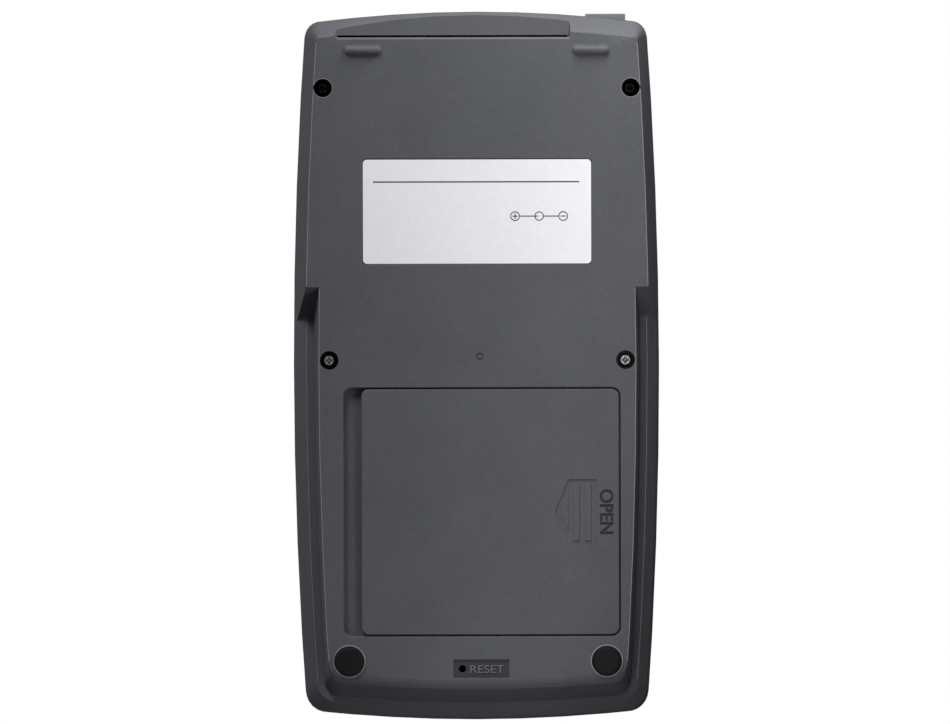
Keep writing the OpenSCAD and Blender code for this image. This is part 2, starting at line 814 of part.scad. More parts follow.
module bottom_case() {
    color(CASE_GREY) {
        difference() {
            union() {
                difference() {
                    bottom_outer();
                    difference() {
                        bottom_cavity();
                        bottom_inside();
                    }
                }
                for (s = [-1, 1])
                    translate([s * foot_x, foot_y, belly_z - foot_ring_h])
                        cylinder(d = foot_d + 2 * foot_ring, h = 1);
                rest_ribs();
            }
            bottom_cuts();
        }
    }
}

// Top case: drafted shell with a keypad deck, a display slope and a printer roof
module top_outer() {
    deck_draft = top_draft * (deck_z - split_z) / (roof_z - split_z) + deck_bevel;
    intersection() {
        hull() {
            slice(split_z, 0, 0, 0, front_corner_r, rear_corner_r);
            slice(roof_z - slice_t, top_draft, top_draft, top_draft, front_corner_r, rear_corner_r);
        }
        union() {
            bevelled_top(deck_z, deck_draft);
            intersection() {
                bevelled_top(roof_z, top_draft + roof_bevel);
                along_x(-far, far)
                    polygon([
                        [slope_y(split_z - 4), split_z - 4],
                        [far, split_z - 4],
                        [far, roof_z + 4],
                        [slope_y(roof_z + 4), roof_z + 4]
                    ]);
            }
        }
    }
}

// Everything below a height, with a bevel at 45 degrees round the outline
module bevelled_top(z, inset) {
    drop = z - split_z + 2;
    hull() {
        slice(z - slice_t, inset, inset, inset, front_corner_r, rear_corner_r);
        slice(z - drop, inset - drop, inset - drop, inset - drop, front_corner_r + drop,
            rear_corner_r + drop);
    }
}

module top_cavity() {
    intersection() {
        hull() {
            slice(split_z - 1, wall, wall, wall, front_corner_r - wall, rear_corner_r - wall);
            slice(roof_z, top_draft + wall, top_draft + wall, top_draft + wall,
                front_corner_r - wall, rear_corner_r - wall);
        }
        along_x(-far, far)
            polygon([
                [-far, split_z - 2],
                [far, split_z - 2],
                [far, roof_in_z],
                [slope_y(roof_in_z) + slope_shift, roof_in_z],
                [slope_y(deck_in_z) + slope_shift, deck_in_z],
                [-far, deck_in_z]
            ]);
    }
}

// What hangs inside the top case: board bosses, jack cradle, hinge lugs
module top_inside() {
    for (s = [-1, 1], y = board_screw_ys)
        translate([s * board_boss_x, y, board_top])
            cylinder(r = board_boss_r, h = deck_z - board_top);
    block([-jack_x - jack_body_w / 2 - cradle_t, jack_back + 2, jack_z - jack_body_h / 2],
        [-jack_x + jack_body_w / 2 + cradle_t, jack_boss_y, jack_z + jack_body_h / 2 + cradle_t]);
    for (s = [-1, 1])
        translate([s * (cover_w / 2 + slide_gap + lug_t / 2), hinge_y, hinge_z])
            cube([lug_t, 5, 5], center = true);
}

module top_cuts() {
    // Openings for the keys
    for (k = KEYS)
        translate([key_x(k[1]), key_middle(k), deck_in_z - 1])
            linear_extrude(wall + 2)
                rounded(key_w + 2 * key_gap, key_span(k) + 2 * key_gap, key_r);
    // Slots for the switch knobs
    for (s = SWITCHES)
        translate([s[1] * switch_pitch, switch_y, deck_in_z - 1])
            linear_extrude(wall + 2)
                rounded(knob_w + 2 * (knob_travel + slide_gap), knob_l + 2 * slide_gap, 0.5);
    // Display opening with the rim for the window
    on_slope() {
        translate([0, 0, -window_t])
            linear_extrude(window_t + 1)
                rounded(window_w + 2 * loose_gap, window_l + 2 * loose_gap, 1.5);
        translate([0, 0, -wall - 1])
            linear_extrude(wall + 2)
                rounded(window_w - 2 * window_rim, window_l - 2 * window_rim, 1);
    }
    // Printer hatch and the bores of its hinge
    block([-cover_w / 2 - slide_gap, hinge_y - barrel_r - slide_gap, roof_in_z - 4],
        [cover_w / 2 + slide_gap, hinge_y + cover_l + slide_gap, roof_z + 1]);
    for (s = [-1, 1])
        mirror([s < 0 ? 1 : 0, 0, 0])
            bar_x([hinge_y, hinge_z], hinge_pin_r + run_gap, cover_w / 2,
                cover_w / 2 + slide_gap + hinge_pin_l + 0.2);
    // Paper exit and the seat of the tear bar
    block([paper_x - paper_w / 2 - 1, paper_y - exit_slot / 2, roof_in_z - 1],
        [paper_x + paper_w / 2 + 1, paper_y + exit_slot / 2, roof_z + 1]);
    block([paper_x - tear_w / 2 - loose_gap, paper_y, roof_z - tear_sink],
        [paper_x + tear_w / 2 + loose_gap, paper_y + exit_slot / 2 + tear_l + loose_gap, roof_z + 1]);
    // Jack: its room from below and the hole through the boss
    block([-jack_x - jack_body_w / 2 - loose_gap, jack_back - loose_gap, split_z - 1],
        [-jack_x + jack_body_w / 2 + loose_gap, jack_back + jack_body_l + loose_gap,
            jack_z + jack_body_h / 2 + loose_gap]);
    translate([-jack_x, jack_back, jack_z])
        rotate([-90, 0, 0])
            cylinder(r = jack_nose_r + seat_gap, h = 2 * jack_body_l + 10);
    // Holes for the board screws
    for (s = [-1, 1], y = board_screw_ys)
        translate([s * board_boss_x, y, board_top - 1])
            cylinder(r = board_screw_r + seat_gap, h = deck_in_z - board_top + 0.6);
}

module on_slope() {
    translate(slope_mid)
        rotate([slope_angle, 0, 0])
            children();
}

// Screw columns reach down from the top case to the seats in the bottom case
module screw_columns() {
    at_wells()
        difference() {
            translate([0, 0, $seat_z + seat_t])
                cylinder(d = column_d, h = column_top($seat_z) - $seat_z - seat_t);
            translate([0, 0, $seat_z])
                cylinder(d = screw_d + 2 * seat_gap, h = seat_t + screw_reach + 1);
        }
}

function column_top(seat_z) = (seat_z == rear_seat_z ? roof_in_z : deck_in_z) + wall / 2;

module top_case() {
    color(TOP_GREY) {
        difference() {
            union() {
                difference() {
                    union() {
                        top_outer();
                        block([-jack_x - jack_boss_w / 2, jack_boss_y - 6, jack_z - jack_boss_h / 2],
                            [-jack_x + jack_boss_w / 2, jack_boss_y, jack_z + jack_boss_h / 2]);
                    }
                    difference() {
                        top_cavity();
                        top_inside();
                    }
                }
                screw_columns();
            }
            top_cuts();
        }
    }
}

// Battery door: flat plate with hooks that reach behind the ledge
module battery_door() {
    hook_z = ledge_top + slide_gap;
    color(CASE_GREY) {
        difference() {
            translate([(door_x0 + door_x1) / 2, door_yc, belly_z])
                linear_extrude(door_t)
                    rounded(door_w, door_l, door_r);
            translate([door_x0 + arrow_edge, door_yc, belly_z - 1])
                linear_extrude(1 + arrow_sink)
                    door_arrow();
        }
        for (x = hook_xs, s = [-1, 1]) {
            edge = door_l / 2 - ledge_side - slide_gap;
            translate([x, door_yc, 0])
                mirror([0, s < 0 ? 1 : 0, 0]) {
                    block([0, edge - hook_t, belly_z + door_t / 2], [hook_l, edge, hook_z + hook_t]);
                    block([0, edge - hook_t, hook_z], [hook_l, edge + hook_reach, hook_z + hook_t]);
                }
        }
    }
}

// Sunken arrow of the battery door, with two grip bars and a point left standing
module door_arrow() {
    neck = arrow_l * 0.68;
    bar_w = 1.7;
    difference() {
        polygon([
            [0, -arrow_w / 2],
            [neck, -arrow_w / 2],
            [arrow_l, 0],
            [neck, arrow_w / 2],
            [0, arrow_w / 2]
        ]);
        for (x = [1.6, 4.9])
            translate([x, -arrow_w / 2 + 1])
                square([bar_w, arrow_w - 2]);
        polygon([[neck, -arrow_w * 0.28], [arrow_l - 1.5, 0], [neck, arrow_w * 0.28]]);
    }
}

module rating_label() {
    color([0.85, 0.85, 0.87])
        translate([0, label_y, belly_z + label_sink - label_t])
            linear_extrude(label_t)
                rounded(label_w, label_l, label_r);
}

module rubber_feet() {
    edge = 0.5;
    color(RUBBER)
        for (s = [-1, 1])
            translate([s * foot_x, foot_y, 0]) {
                cylinder(d1 = foot_d - 2 * edge, d2 = foot_d, h = edge);
                translate([0, 0, edge])
                    cylinder(d = foot_d, h = belly_z + foot_sink - edge);
            }
}

// Pan head screws with a cross recess
module case_screws() {
    color(METAL)
        at_wells()
            translate([0, 0, $seat_z])
                difference() {
                    union() {
                        translate([0, 0, -screw_head_h])
                            cylinder(d1 = screw_head_d - 1, d2 = screw_head_d, h = screw_head_h);
                        cylinder(d = screw_d, h = seat_t + screw_reach);
                    }
                    for (a = [0, 90])
                        rotate(a)
                            translate([-0.9, -0.25, -screw_head_h - 1])
                                cube([1.8, 0.5, 1.8]);
                }
}

// Circuit board: wide under the keys, narrow between the screw columns
module main_board() {
    chip_h = 1.2;
    tail_mid = (board_y1 + board_tail_y) / 2;
    color([0.16, 0.4, 0.24])
        difference() {
            union() {
                block([-board_half, board_y0, board_z], [board_half, board_y1, board_top]);
                block([-board_tail_half, board_y1 - 1, board_z],
                    [board_tail_half, board_tail_y, board_top]);
                translate([0, tail_mid, board_z - chip_h / 2])
                    cube([board_tail_half / 2, (board_tail_y - board_y1) * 0.6, chip_h], center = true);
                translate([board_tail_half * 0.65, tail_mid, board_z - chip_h / 2])
                    cube([board_tail_half / 5, (board_tail_y - board_y1) / 4, chip_h], center = true);
            }
            for (s = [-1, 1], y = board_screw_ys)
                translate([s * board_boss_x, y, board_z - 1])
                    cylinder(r = board_screw_r + loose_gap, h = board_t + 2);
        }
}

module board_screws() {
    head_r = 1.6;
    head_h = 1.1;
    color(METAL)
        for (s = [-1, 1], y = board_screw_ys)
            translate([s * board_boss_x, y, board_z]) {
                translate([0, 0, -head_h])
                    cylinder(r = head_r, h = head_h);
                cylinder(r = board_screw_r, h = board_t + 2.4);
            }
}

// Rubber mat with a dome under every key
module keypad_mat() {
    color([0.7, 0.71, 0.72]) {
        block([-board_boss_x + board_boss_r + loose_gap, board_y0 + 0.5, board_top],
            [board_boss_x - board_boss_r - loose_gap, board_y1 - 0.5, mat_top]);
        for (k = KEYS, r = [0:k[3] - 1])
            translate([key_x(k[1]), key_y(k[2] + r), mat_top - 0.2])
                cylinder(d1 = dome_d, d2 = dome_d * 5 / 7, h = dome_h + 0.2);
    }
}

function key_span(k) = key_l + (k[3] - 1) * key_pitch_y;
function key_middle(k) = key_y(k[2]) + (k[3] - 1) * key_pitch_y / 2;
function key_tone(k) = k[4] == "light" ? LIGHT_KEY : k[4] == "warm" ? WARM_KEY : DARK_KEY;

// Key cap: hollow, drafted, dished on top, with a lip that stays under the deck
module key(k) {
    span = key_span(k);
    dish_w = key_w - 2 * key_draft;
    dish_r = dish_w * dish_w / (8 * key_dish) + key_dish / 2;
    post_z = dome_top + key_travel + loose_gap;
    roof = key_top - key_dish - key_wall;
    color(key_tone(k))
        translate([key_x(k[1]), key_middle(k), 0])
            difference() {
                union() {
                    hull() {
                        translate([0, 0, lip_z + slice_t])
                            linear_extrude(slice_t)
                                rounded(key_w, span, key_r, $fn = 24);
                        translate([0, 0, key_top - slice_t])
                            linear_extrude(slice_t)
                                rounded(key_w - 2 * key_draft, span - 2 * key_draft, key_r, $fn = 24);
                    }
                    translate([0, 0, lip_z])
                        linear_extrude(key_lip_t)
                            square([key_w + 2 * key_lip, span + 2 * key_lip], center = true);
                }
                translate([0, span, key_top - key_dish + dish_r])
                    rotate([90, 0, 0])
                        cylinder(r = dish_r, h = 2 * span, $fn = 96);
                difference() {
                    translate([0, 0, lip_z - 1])
                        linear_extrude(roof - lip_z + 1)
                            square([key_w - 2 * key_wall - key_draft, span - 2 * key_wall - key_draft],
                                center = true);
                    for (r = [0:k[3] - 1])
                        translate([0, (r - (k[3] - 1) / 2) * key_pitch_y, post_z])
                            cylinder(d = post_d, h = key_h + 4);
                }
            }
}

// Knob of a slide switch, with a plate that runs under the deck
module switch_knob(s) {
    grip_w = 0.5;
    color(DARK_KEY)
        translate([s[1] * switch_pitch, switch_y, 0]) {
            translate([0, 0, lip_z + 0.1])
                linear_extrude(deck_z + knob_h - lip_z - 0.5)
                    rounded(knob_w, knob_l, 0.4);
            translate([0, 0, lip_z])
                linear_extrude(key_lip_t)
                    square([knob_w + 4 * knob_travel + 2 * slide_gap, knob_l + 3], center = true);
            for (i = [-1.5, -0.5, 0.5, 1.5])
                translate([i * 2 * grip_w, 0, deck_z + knob_h - 0.2])
                    cube([grip_w, knob_l - 0.8, 0.8], center = true);
        }
}

module display_window() {
    color([0.15, 0.17, 0.18, 0.5])
        on_slope()
            translate([0, 0, -window_t])
                linear_extrude(window_t)
                    rounded(window_w, window_l, 1.4);
}

module display_panel() {
    color([0.62, 0.67, 0.6])
        on_slope()
            translate([-window_w / 2, -window_l / 2, -wall - panel_t - seat_gap])
                cube([window_w, window_l, panel_t]);
}

// Flat ribbon from the board to the lower edge of the display panel
module display_ribbon() {
    thick = 0.25;
    end = slope_mid + [0, -cos(slope_angle) * window_l / 2 + sin(slope_angle) * (wall + panel_t / 2),
        -sin(slope_angle) * window_l / 2 - cos(slope_angle) * (wall + panel_t / 2)];
    start = [board_tail_y - 4, board_top];
    knee = [board_tail_y + 1, board_top];
    tip = [end[1] - seat_gap * 2, end[2] - seat_gap * 2];
    color([0.75, 0.5, 0.2])
        along_x(-ribbon_w / 2, ribbon_w / 2)
            polygon([
                start,
                knee,
                tip,
                tip + [-thick, thick],
                knee + [-thick, thick],
                start + [0, thick]
            ]);
}

// Hatch over the printer, turning on two pins in the top case
module printer_cover() {
    lip_t = 1.9;
    pull_r = 5;
    color(TOP_GREY)
        difference() {
            union() {
                along_x(-cover_w / 2, cover_w / 2) {
                    translate([hinge_y, hinge_z])
                        circle(barrel_r);
                    translate([hinge_y, roof_z - lip_t])
                        square([cover_l, lip_t]);
                }
                for (s = [-1, 1])
                    mirror([s < 0 ? 1 : 0, 0, 0])
                        bar_x([hinge_y, hinge_z], hinge_pin_r, cover_w / 2 - 1,
                            cover_w / 2 + slide_gap + hinge_pin_l);
            }
            // Finger pull at the rear edge
            translate([0, hinge_y + cover_l - 3, roof_z + pull_r - 0.7])
                rotate([0, 90, 0])
                    cylinder(r = pull_r, h = cover_w / 4, center = true);
        }
}

// Serrated strip behind the paper exit
module tear_bar() {
    pitch = tear_w / tear_teeth;
    front = paper_y + exit_slot / 2 - tear_tooth;
    color(METAL)
        translate([paper_x - tear_w / 2, 0, roof_z - tear_sink])
            linear_extrude(tear_t)
                polygon(concat(
                    [[tear_w, front + tear_tooth + tear_l], [0, front + tear_tooth + tear_l]],
                    [for (i = [0:tear_teeth - 1], half = [0, 1])
                        [(i + half / 2) * pitch, front + (1 - half) * tear_tooth]],
                    [[tear_w, front + tear_tooth]]
                ));
}

// Printer frame: two side plates with bearing bores, joined by a base and a bar
module printer_frame() {
    base_z = belly_in_z;
    bore_r = shaft_r + run_gap;
    color([0.2, 0.2, 0.21])
        difference() {
            union() {
                for (x = [frame_x0 - plate_t, frame_x1])
                    along_x(x, x + plate_t)
                        polygon([
                            [frame_y0 + 4, base_z],
                            [frame_y1 - 4, base_z],
                            [frame_y1, base_z + 8],
                            [frame_y1, drum_z + 7],
                            [ink_axis[0] + 6, frame_top],
                            [frame_y0, frame_top],
                            [frame_y0, base_z + 6]
                        ]);
                block([frame_x0 - 0.5, frame_y0 + 4, base_z], [frame_x1 + 0.5, frame_y0 + 12, base_z + 1.6]);
                block([frame_x0 - 0.5, feed_axis[0] - 3, base_z],
                    [frame_x1 + 0.5, frame_y1 - 4.5, base_z + 1.4]);
            }
            for (axis = [drum_axis, feed_axis, ink_axis])
                bar_x(axis, bore_r, frame_x0 - plate_t - 1, frame_x1 + plate_t + 1);
            block([frame_x0 - plate_t - 1, ink_axis[0] - bore_r, ink_axis[1]],
                [frame_x1 + plate_t + 1, ink_axis[0] + bore_r, frame_top + 1]);
            bar_x(motor_axis, 3 + seat_gap, frame_x0 - plate_t - 1, frame_x0 + 1);
        }
}

// Type drum: rings of type on one shaft
module print_drum() {
    rings = 14;
    ring_pitch = (frame_x1 - frame_x0 - 8) / rings;
    groove = 0.6;
    x0 = frame_x0 + 4;
    color([0.3, 0.3, 0.32]) {
        bar_x(drum_axis, shaft_r, gear_x0 - 0.4, shaft_x1);
        bar_x(drum_axis, drum_r - 0.7, x0, x0 + rings * ring_pitch);
        for (i = [0:rings - 1])
            bar_x(drum_axis, drum_r, x0 + i * ring_pitch + groove / 2, x0 + (i + 1) * ring_pitch - groove / 2);
    }
}

// Spur gear outline about the origin, with a tooth at a given angle
module gear_outline(teeth, phase) {
    pitch_r = teeth * gear_module / 2;
    tip_r = pitch_r + 0.75 * gear_module;
    root_r = pitch_r - 1.05 * gear_module;
    step = 360 / teeth;
    polygon([
        for (i = [0:teeth - 1], corner = [[-0.3, root_r], [-0.11, tip_r], [0.11, tip_r], [0.3, root_r]])
            corner[1] * heading(phase + (i + corner[0]) * step)
    ]);
}

module gear(axis, teeth, phase, bore) {
    along_x(gear_x0, gear_x1)
        translate(axis)
            difference() {
                gear_outline(teeth, phase);
                circle(bore);
            }
}

module drum_gear() {
    color(NYLON)
        gear(drum_axis, drum_teeth, motor_angle, shaft_r + seat_gap);
}

module feed_gear() {
    mesh_shift = (motor_angle - feed_angle) * drum_teeth / feed_teeth;
    color(NYLON)
        gear(feed_axis, feed_teeth, feed_angle + 180 - mesh_shift + 180 / feed_teeth, shaft_r + seat_gap);
}

module motor_pinion() {
    color([0.72, 0.6, 0.3]) {
        gear(motor_axis, pinion_teeth, motor_angle + 180 + 180 / pinion_teeth, 0.6);
        bar_x(motor_axis, 1, gear_x0 - 0.3, frame_x0 + motor_l / 2);
    }
}

module drive_motor() {
    flat = motor_r - 0.9;
    color(METAL)
        difference() {
            union() {
                along_x(frame_x0 + seat_gap, frame_x0 + motor_l)
                    translate(motor_axis)
                        intersection() {
                            circle(motor_r);
                            square([2 * motor_r + 1, 2 * flat], center = true);
                        }
                bar_x(motor_axis, 3, frame_x0 - plate_t - 0.2, frame_x0 + 1);
            }
            bar_x(motor_axis, 1 + run_gap, frame_x0 - plate_t - 1, frame_x0 + motor_l / 2 + 0.5);
        }
}

module ink_roller() {
    x0 = frame_x0 + 5;
    x1 = frame_x1 - 5;
    color([0.14, 0.12, 0.2]) {
        bar_x(ink_axis, shaft_r, frame_x0 - plate_t - 0.4, frame_x1 + plate_t + 0.4);
        bar_x(ink_axis, ink_r, x0, x1);
        bar_x(ink_axis, 3, frame_x0 + 0.8, frame_x1 - 0.8);
    }
}

// Feed roller: a shaft with three rubber sleeves
module feed_roller() {
    sleeves = 3;
    sleeve_l = 13;
    run = frame_x1 - frame_x0 - 8 - sleeve_l;
    color([0.16, 0.16, 0.16]) {
        bar_x(feed_axis, shaft_r, gear_x0 - 0.4, shaft_x1);
        for (i = [0:sleeves - 1]) {
            x = frame_x0 + 4 + i * run / (sleeves - 1);
            bar_x(feed_axis, feed_r, x, x + sleeve_l);
        }
    }
}

// Bar of print hammers behind the paper
module hammer_bank() {
    hammers = 14;
    ring_pitch = (frame_x1 - frame_x0 - 8) / hammers;
    face_y = drum_axis[0] + drum_r + 0.8;
    color([0.25, 0.25, 0.27]) {
        block([frame_x0 + seat_gap, face_y + 1.2, drum_z - 5], [frame_x1 - seat_gap, face_y + 4, drum_z + 5]);
        for (i = [0:hammers - 1])
            translate([frame_x0 + 4 + (i + 0.5) * ring_pitch, face_y + 1, drum_z])
                cube([ring_pitch - 1, 2, 3], center = true);
    }
}

// Adaptor jack: a block with a round nose, a plug bore and a centre pin
module dc_jack() {
    bore_l = 9;
    nose_y = jack_boss_y - 0.5;
    color(RUBBER)
        difference() {
            union() {
                block([-jack_x - jack_body_w / 2, jack_back, jack_z - jack_body_h / 2],
                    [-jack_x + jack_body_w / 2, jack_back + jack_body_l, jack_z + jack_body_h / 2]);
                translate([-jack_x, jack_back + 2, jack_z])
                    rotate([-90, 0, 0])
                        cylinder(r = jack_nose_r, h = nose_y - jack_back - 2);
            }
            translate([-jack_x, nose_y - bore_l, jack_z])
                rotate([-90, 0, 0])
                    difference() {
                        cylinder(d = plug_d + 0.2, h = bore_l + 2);
                        cylinder(d = jack_pin_d, h = bore_l - 1.5);
                    }
        }
}

// Contact plates on both ends of the cells, linking them in series
module battery_contacts() {
    plate = 11;
    low = cell_z - 5;
    high = cell_z + 5;
    color(METAL) {
        for (k = [-1, 1])
            contact_plate(bay_x0 + seat_gap, cell_y(k) - cell_pitch / 2 - plate / 2,
                cell_y(k) + cell_pitch / 2 + plate / 2, low, high);
        contact_plate(bay_x1 - seat_gap - contact_t, door_yc - cell_pitch / 2 - plate / 2,
            door_yc + cell_pitch / 2 + plate / 2, low, high);
        for (k = [-1.5, 1.5])
            contact_plate(bay_x1 - seat_gap - contact_t, cell_y(k) - plate / 2,
                cell_y(k) + plate / 2 - 1, low, high);
        for (i = [0:3]) {
            at_low_end = i % 2 == 1;
            x = at_low_end ? bay_x0 + seat_gap + contact_t / 2 : bay_x1 - seat_gap - contact_t / 2 - 1;
            bar_x([cell_y(CELLS[i]), cell_z], 2.4, x, x + 1);
        }
    }
}

module contact_plate(x, y0, y1, low, high) {
    block([x, y0, low], [x + contact_t, y1, high]);
}

// Cone springs, one for each cell, wound from the plate towards the cell
spring_base_r = 4.4;
spring_tip_r = 2.8;
spring_steps = spring_turns * 8;
spring_wire_r = spring_wire / 2;
spring_run = spring_l - spring_wire;
function spring_middle(i) =
    let (t = i / spring_steps, r = spring_base_r + (spring_tip_r - spring_base_r) * t, a = i * 45)
    [spring_wire_r + t * spring_run, r * cos(a), r * sin(a)];
function spring_ring(i) =
    let (a = i * 45, out = [0, cos(a), sin(a)], along = [1, 0, 0])
    [for (j = [0:5]) spring_middle(i) + spring_wire_r * (cos(60 * j) * out + sin(60 * j) * along)];
spring_gap = min([
    for (i = [0:spring_steps], j = [0:spring_steps])
        if (j >= i + 5) norm(spring_middle(i) - spring_middle(j)) - spring_wire
]);
echo(least_gap_between_spring_turns = spring_gap);

module spring() {
    points = [for (i = [0:spring_steps]) each spring_ring(i)];
    last = spring_steps * 6;
    sides = [
        for (i = [0:spring_steps - 1], j = [0:5])
            let (a = i * 6 + j, b = i * 6 + (j + 1) % 6)
            each [[a, b, b + 6], [a, b + 6, a + 6]]
    ];
    caps = [for (j = [1:4]) each [[0, j + 1, j], [last, last + j, last + j + 1]]];
    polyhedron(points, concat(sides, caps));
}

module battery_springs() {
    color(METAL)
        for (i = [0:3]) {
            at_low_end = i % 2 == 0;
            x = at_low_end ? bay_x0 + contact_t + 2 * seat_gap : bay_x1 - contact_t - 2 * seat_gap;
            translate([x, cell_y(CELLS[i]), cell_z])
                mirror([at_low_end ? 0 : 1, 0, 0])
                    spring();
        }
}

module reset_switch() {
    color(RUBBER)
        difference() {
            block([pinhole_x - reset_body / 2, reset_y - reset_body / 2, reset_z],
                [pinhole_x + reset_body / 2, reset_y + reset_body / 2, board_z]);
            translate([pinhole_x, reset_y, reset_z - 1])
                cylinder(d = reset_button_d + 2 * run_gap, h = reset_bore_h + 1);
        }
}

module reset_button() {
    color(LIGHT_KEY)
        translate([pinhole_x, reset_y, reset_z - 1.2])
            cylinder(d = reset_button_d, h = 1.2 + reset_bore_h - reset_travel - 0.1);
}

bottom_case();
top_case();
battery_door();
rating_label();
rubber_feet();
case_screws();
main_board();
board_screws();
keypad_mat();
display_window();
display_panel();
display_ribbon();
printer_cover();
tear_bar();
printer_frame();
print_drum();
drum_gear();
ink_roller();
feed_roller();
feed_gear();
drive_motor();
motor_pinion();
hammer_bank();
dc_jack();
battery_contacts();
battery_springs();
reset_switch();
reset_button();
for (s = SWITCHES) switch_knob(s);
for (k = KEYS) key(k);
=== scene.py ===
import json
from math import cos, pi, radians, sin, tau

import bmesh
import bpy
from mathutils import Matrix, Vector
from mathutils.bvhtree import BVHTree

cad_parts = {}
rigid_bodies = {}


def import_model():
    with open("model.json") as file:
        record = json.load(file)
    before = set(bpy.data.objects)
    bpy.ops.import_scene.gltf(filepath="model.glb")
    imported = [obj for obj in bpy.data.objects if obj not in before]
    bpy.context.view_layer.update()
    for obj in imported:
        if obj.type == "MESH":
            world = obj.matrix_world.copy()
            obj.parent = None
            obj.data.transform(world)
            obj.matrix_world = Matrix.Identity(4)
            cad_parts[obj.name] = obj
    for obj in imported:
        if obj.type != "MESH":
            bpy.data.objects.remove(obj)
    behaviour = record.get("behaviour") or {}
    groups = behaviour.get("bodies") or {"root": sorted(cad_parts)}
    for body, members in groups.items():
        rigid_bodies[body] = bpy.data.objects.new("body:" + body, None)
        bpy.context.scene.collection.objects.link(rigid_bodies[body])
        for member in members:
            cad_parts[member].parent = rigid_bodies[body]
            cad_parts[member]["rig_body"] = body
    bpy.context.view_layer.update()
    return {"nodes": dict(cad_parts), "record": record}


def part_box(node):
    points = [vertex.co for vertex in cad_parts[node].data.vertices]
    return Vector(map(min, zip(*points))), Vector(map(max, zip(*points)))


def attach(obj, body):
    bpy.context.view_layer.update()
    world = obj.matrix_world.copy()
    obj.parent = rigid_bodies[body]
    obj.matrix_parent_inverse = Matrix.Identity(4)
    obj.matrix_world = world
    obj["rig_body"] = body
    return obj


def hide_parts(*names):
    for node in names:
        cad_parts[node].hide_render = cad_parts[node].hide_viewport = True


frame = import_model()

# Camera and studio
# The photograph looks at the underside through a long lens from a little to one side, rear edge up.
# The floor is a pale sheet that shows only from above, so that one set of lamps serves both faces.
mm = 0.001
scene = bpy.context.scene
scene.view_settings.view_transform = "Standard"

photo_width = 950
pixel_size = 0.279 * mm
view_middle = Vector((0.52 * mm, 1.25 * mm, 12 * mm))
camera_distance = 8.0
camera_aside = radians(0.8)
camera_roll = radians(0.14)
camera = bpy.data.objects.new("camera", bpy.data.cameras.new("camera"))
camera.data.lens = camera.data.sensor_width * camera_distance / (photo_width * pixel_size)
camera.location = view_middle + camera_distance * Vector((sin(camera_aside), 0, -cos(camera_aside)))
camera.rotation_euler = (0, pi - camera_aside, camera_roll)
scene.collection.objects.link(camera)
scene.camera = camera

scene.world = bpy.data.worlds.new("studio")
scene.world.use_nodes = True
sky = scene.world.node_tree
soft_fill = sky.nodes["Background"]
soft_fill.inputs["Color"].default_value = (0.145, 0.145, 0.149, 1)
white = sky.nodes.new("ShaderNodeBackground")
white.inputs["Color"].default_value = (1, 1, 1, 1)
rays = sky.nodes.new("ShaderNodeLightPath")
seen = sky.nodes.new("ShaderNodeMath")
seen.operation = "MAXIMUM"
sky.links.new(rays.outputs["Is Camera Ray"], seen.inputs[0])
sky.links.new(rays.outputs["Is Glossy Ray"], seen.inputs[1])
choice = sky.nodes.new("ShaderNodeMixShader")
sky.links.new(seen.outputs[0], choice.inputs["Fac"])
sky.links.new(soft_fill.outputs[0], choice.inputs[1])
sky.links.new(white.outputs[0], choice.inputs[2])
sky.links.new(choice.outputs[0], sky.nodes["World Output"].inputs["Surface"])


def lamp(name, kind, place, energy, spread):
    """A lamp at a place, aimed at the object; spread is a sun's angle or a panel's two sides."""
    light = bpy.data.lights.new(name, kind)
    light.energy = energy
    if kind == "SUN":
        light.angle = spread
    else:
        light.shape = "RECTANGLE"
        light.size, light.size_y = spread
    holder = bpy.data.objects.new(name, light)
    holder.location = place
    holder.visible_camera = False
    holder.rotation_euler = Vector(place).to_track_quat("Z", "Y").to_euler()
    scene.collection.objects.link(holder)


# The panels stay wholly below the floor, so that they leave no bright patch on it
lamp("underside_key", "AREA", (-0.042, -0.009, -0.06), 0.086, (0.36, 0.03))
lamp("rear_key", "AREA", (0.35, 0.7, -0.42), 6.0, (0.3, 0.3))
lamp("rear_edge", "AREA", (-0.045, 0.2, -0.03), 0.22, (0.05, 0.05))
lamp("top_key", "SUN", (0.6, -0.35, 1.6), 2.1, radians(40))
lamp("top_rear", "SUN", (-0.6, 0.8, 1.1), 1.0, radians(30))

floor_radius = 0.7
floor_drop = 0.1 * mm
floor_shape = bmesh.new()
bmesh.ops.create_circle(floor_shape, cap_ends=True, radius=floor_radius, segments=64)
bmesh.ops.translate(floor_shape, verts=floor_shape.verts, vec=(0, 0, -floor_drop))
floor = bpy.data.objects.new("floor", bpy.data.meshes.new("floor"))
floor_shape.to_mesh(floor.data)
floor_shape.free()
scene.collection.objects.link(floor)
floor.visible_diffuse = False
floor.visible_glossy = False
floor.visible_shadow = False
paper_sheet = bpy.data.materials.new("floor_paper")
paper_sheet.use_nodes = True
paper = paper_sheet.node_tree
paper.nodes["Principled BSDF"].inputs["Base Color"].default_value = (0.86, 0.86, 0.86, 1)
paper.nodes["Principled BSDF"].inputs["Roughness"].default_value = 0.9
side = paper.nodes.new("ShaderNodeNewGeometry")
spot = paper.nodes.new("ShaderNodeVectorMath")
spot.operation = "LENGTH"
paper.links.new(side.outputs["Position"], spot.inputs[0])
fade = paper.nodes.new("ShaderNodeMapRange")
fade.inputs["From Min"].default_value = 0.15
fade.inputs["From Max"].default_value = 0.6
paper.links.new(spot.outputs["Value"], fade.inputs["Value"])
unseen = paper.nodes.new("ShaderNodeMath")
unseen.operation = "MAXIMUM"
paper.links.new(side.outputs["Backfacing"], unseen.inputs[0])
paper.links.new(fade.outputs["Result"], unseen.inputs[1])
clear = paper.nodes.new("ShaderNodeBsdfTransparent")
one_sided = paper.nodes.new("ShaderNodeMixShader")
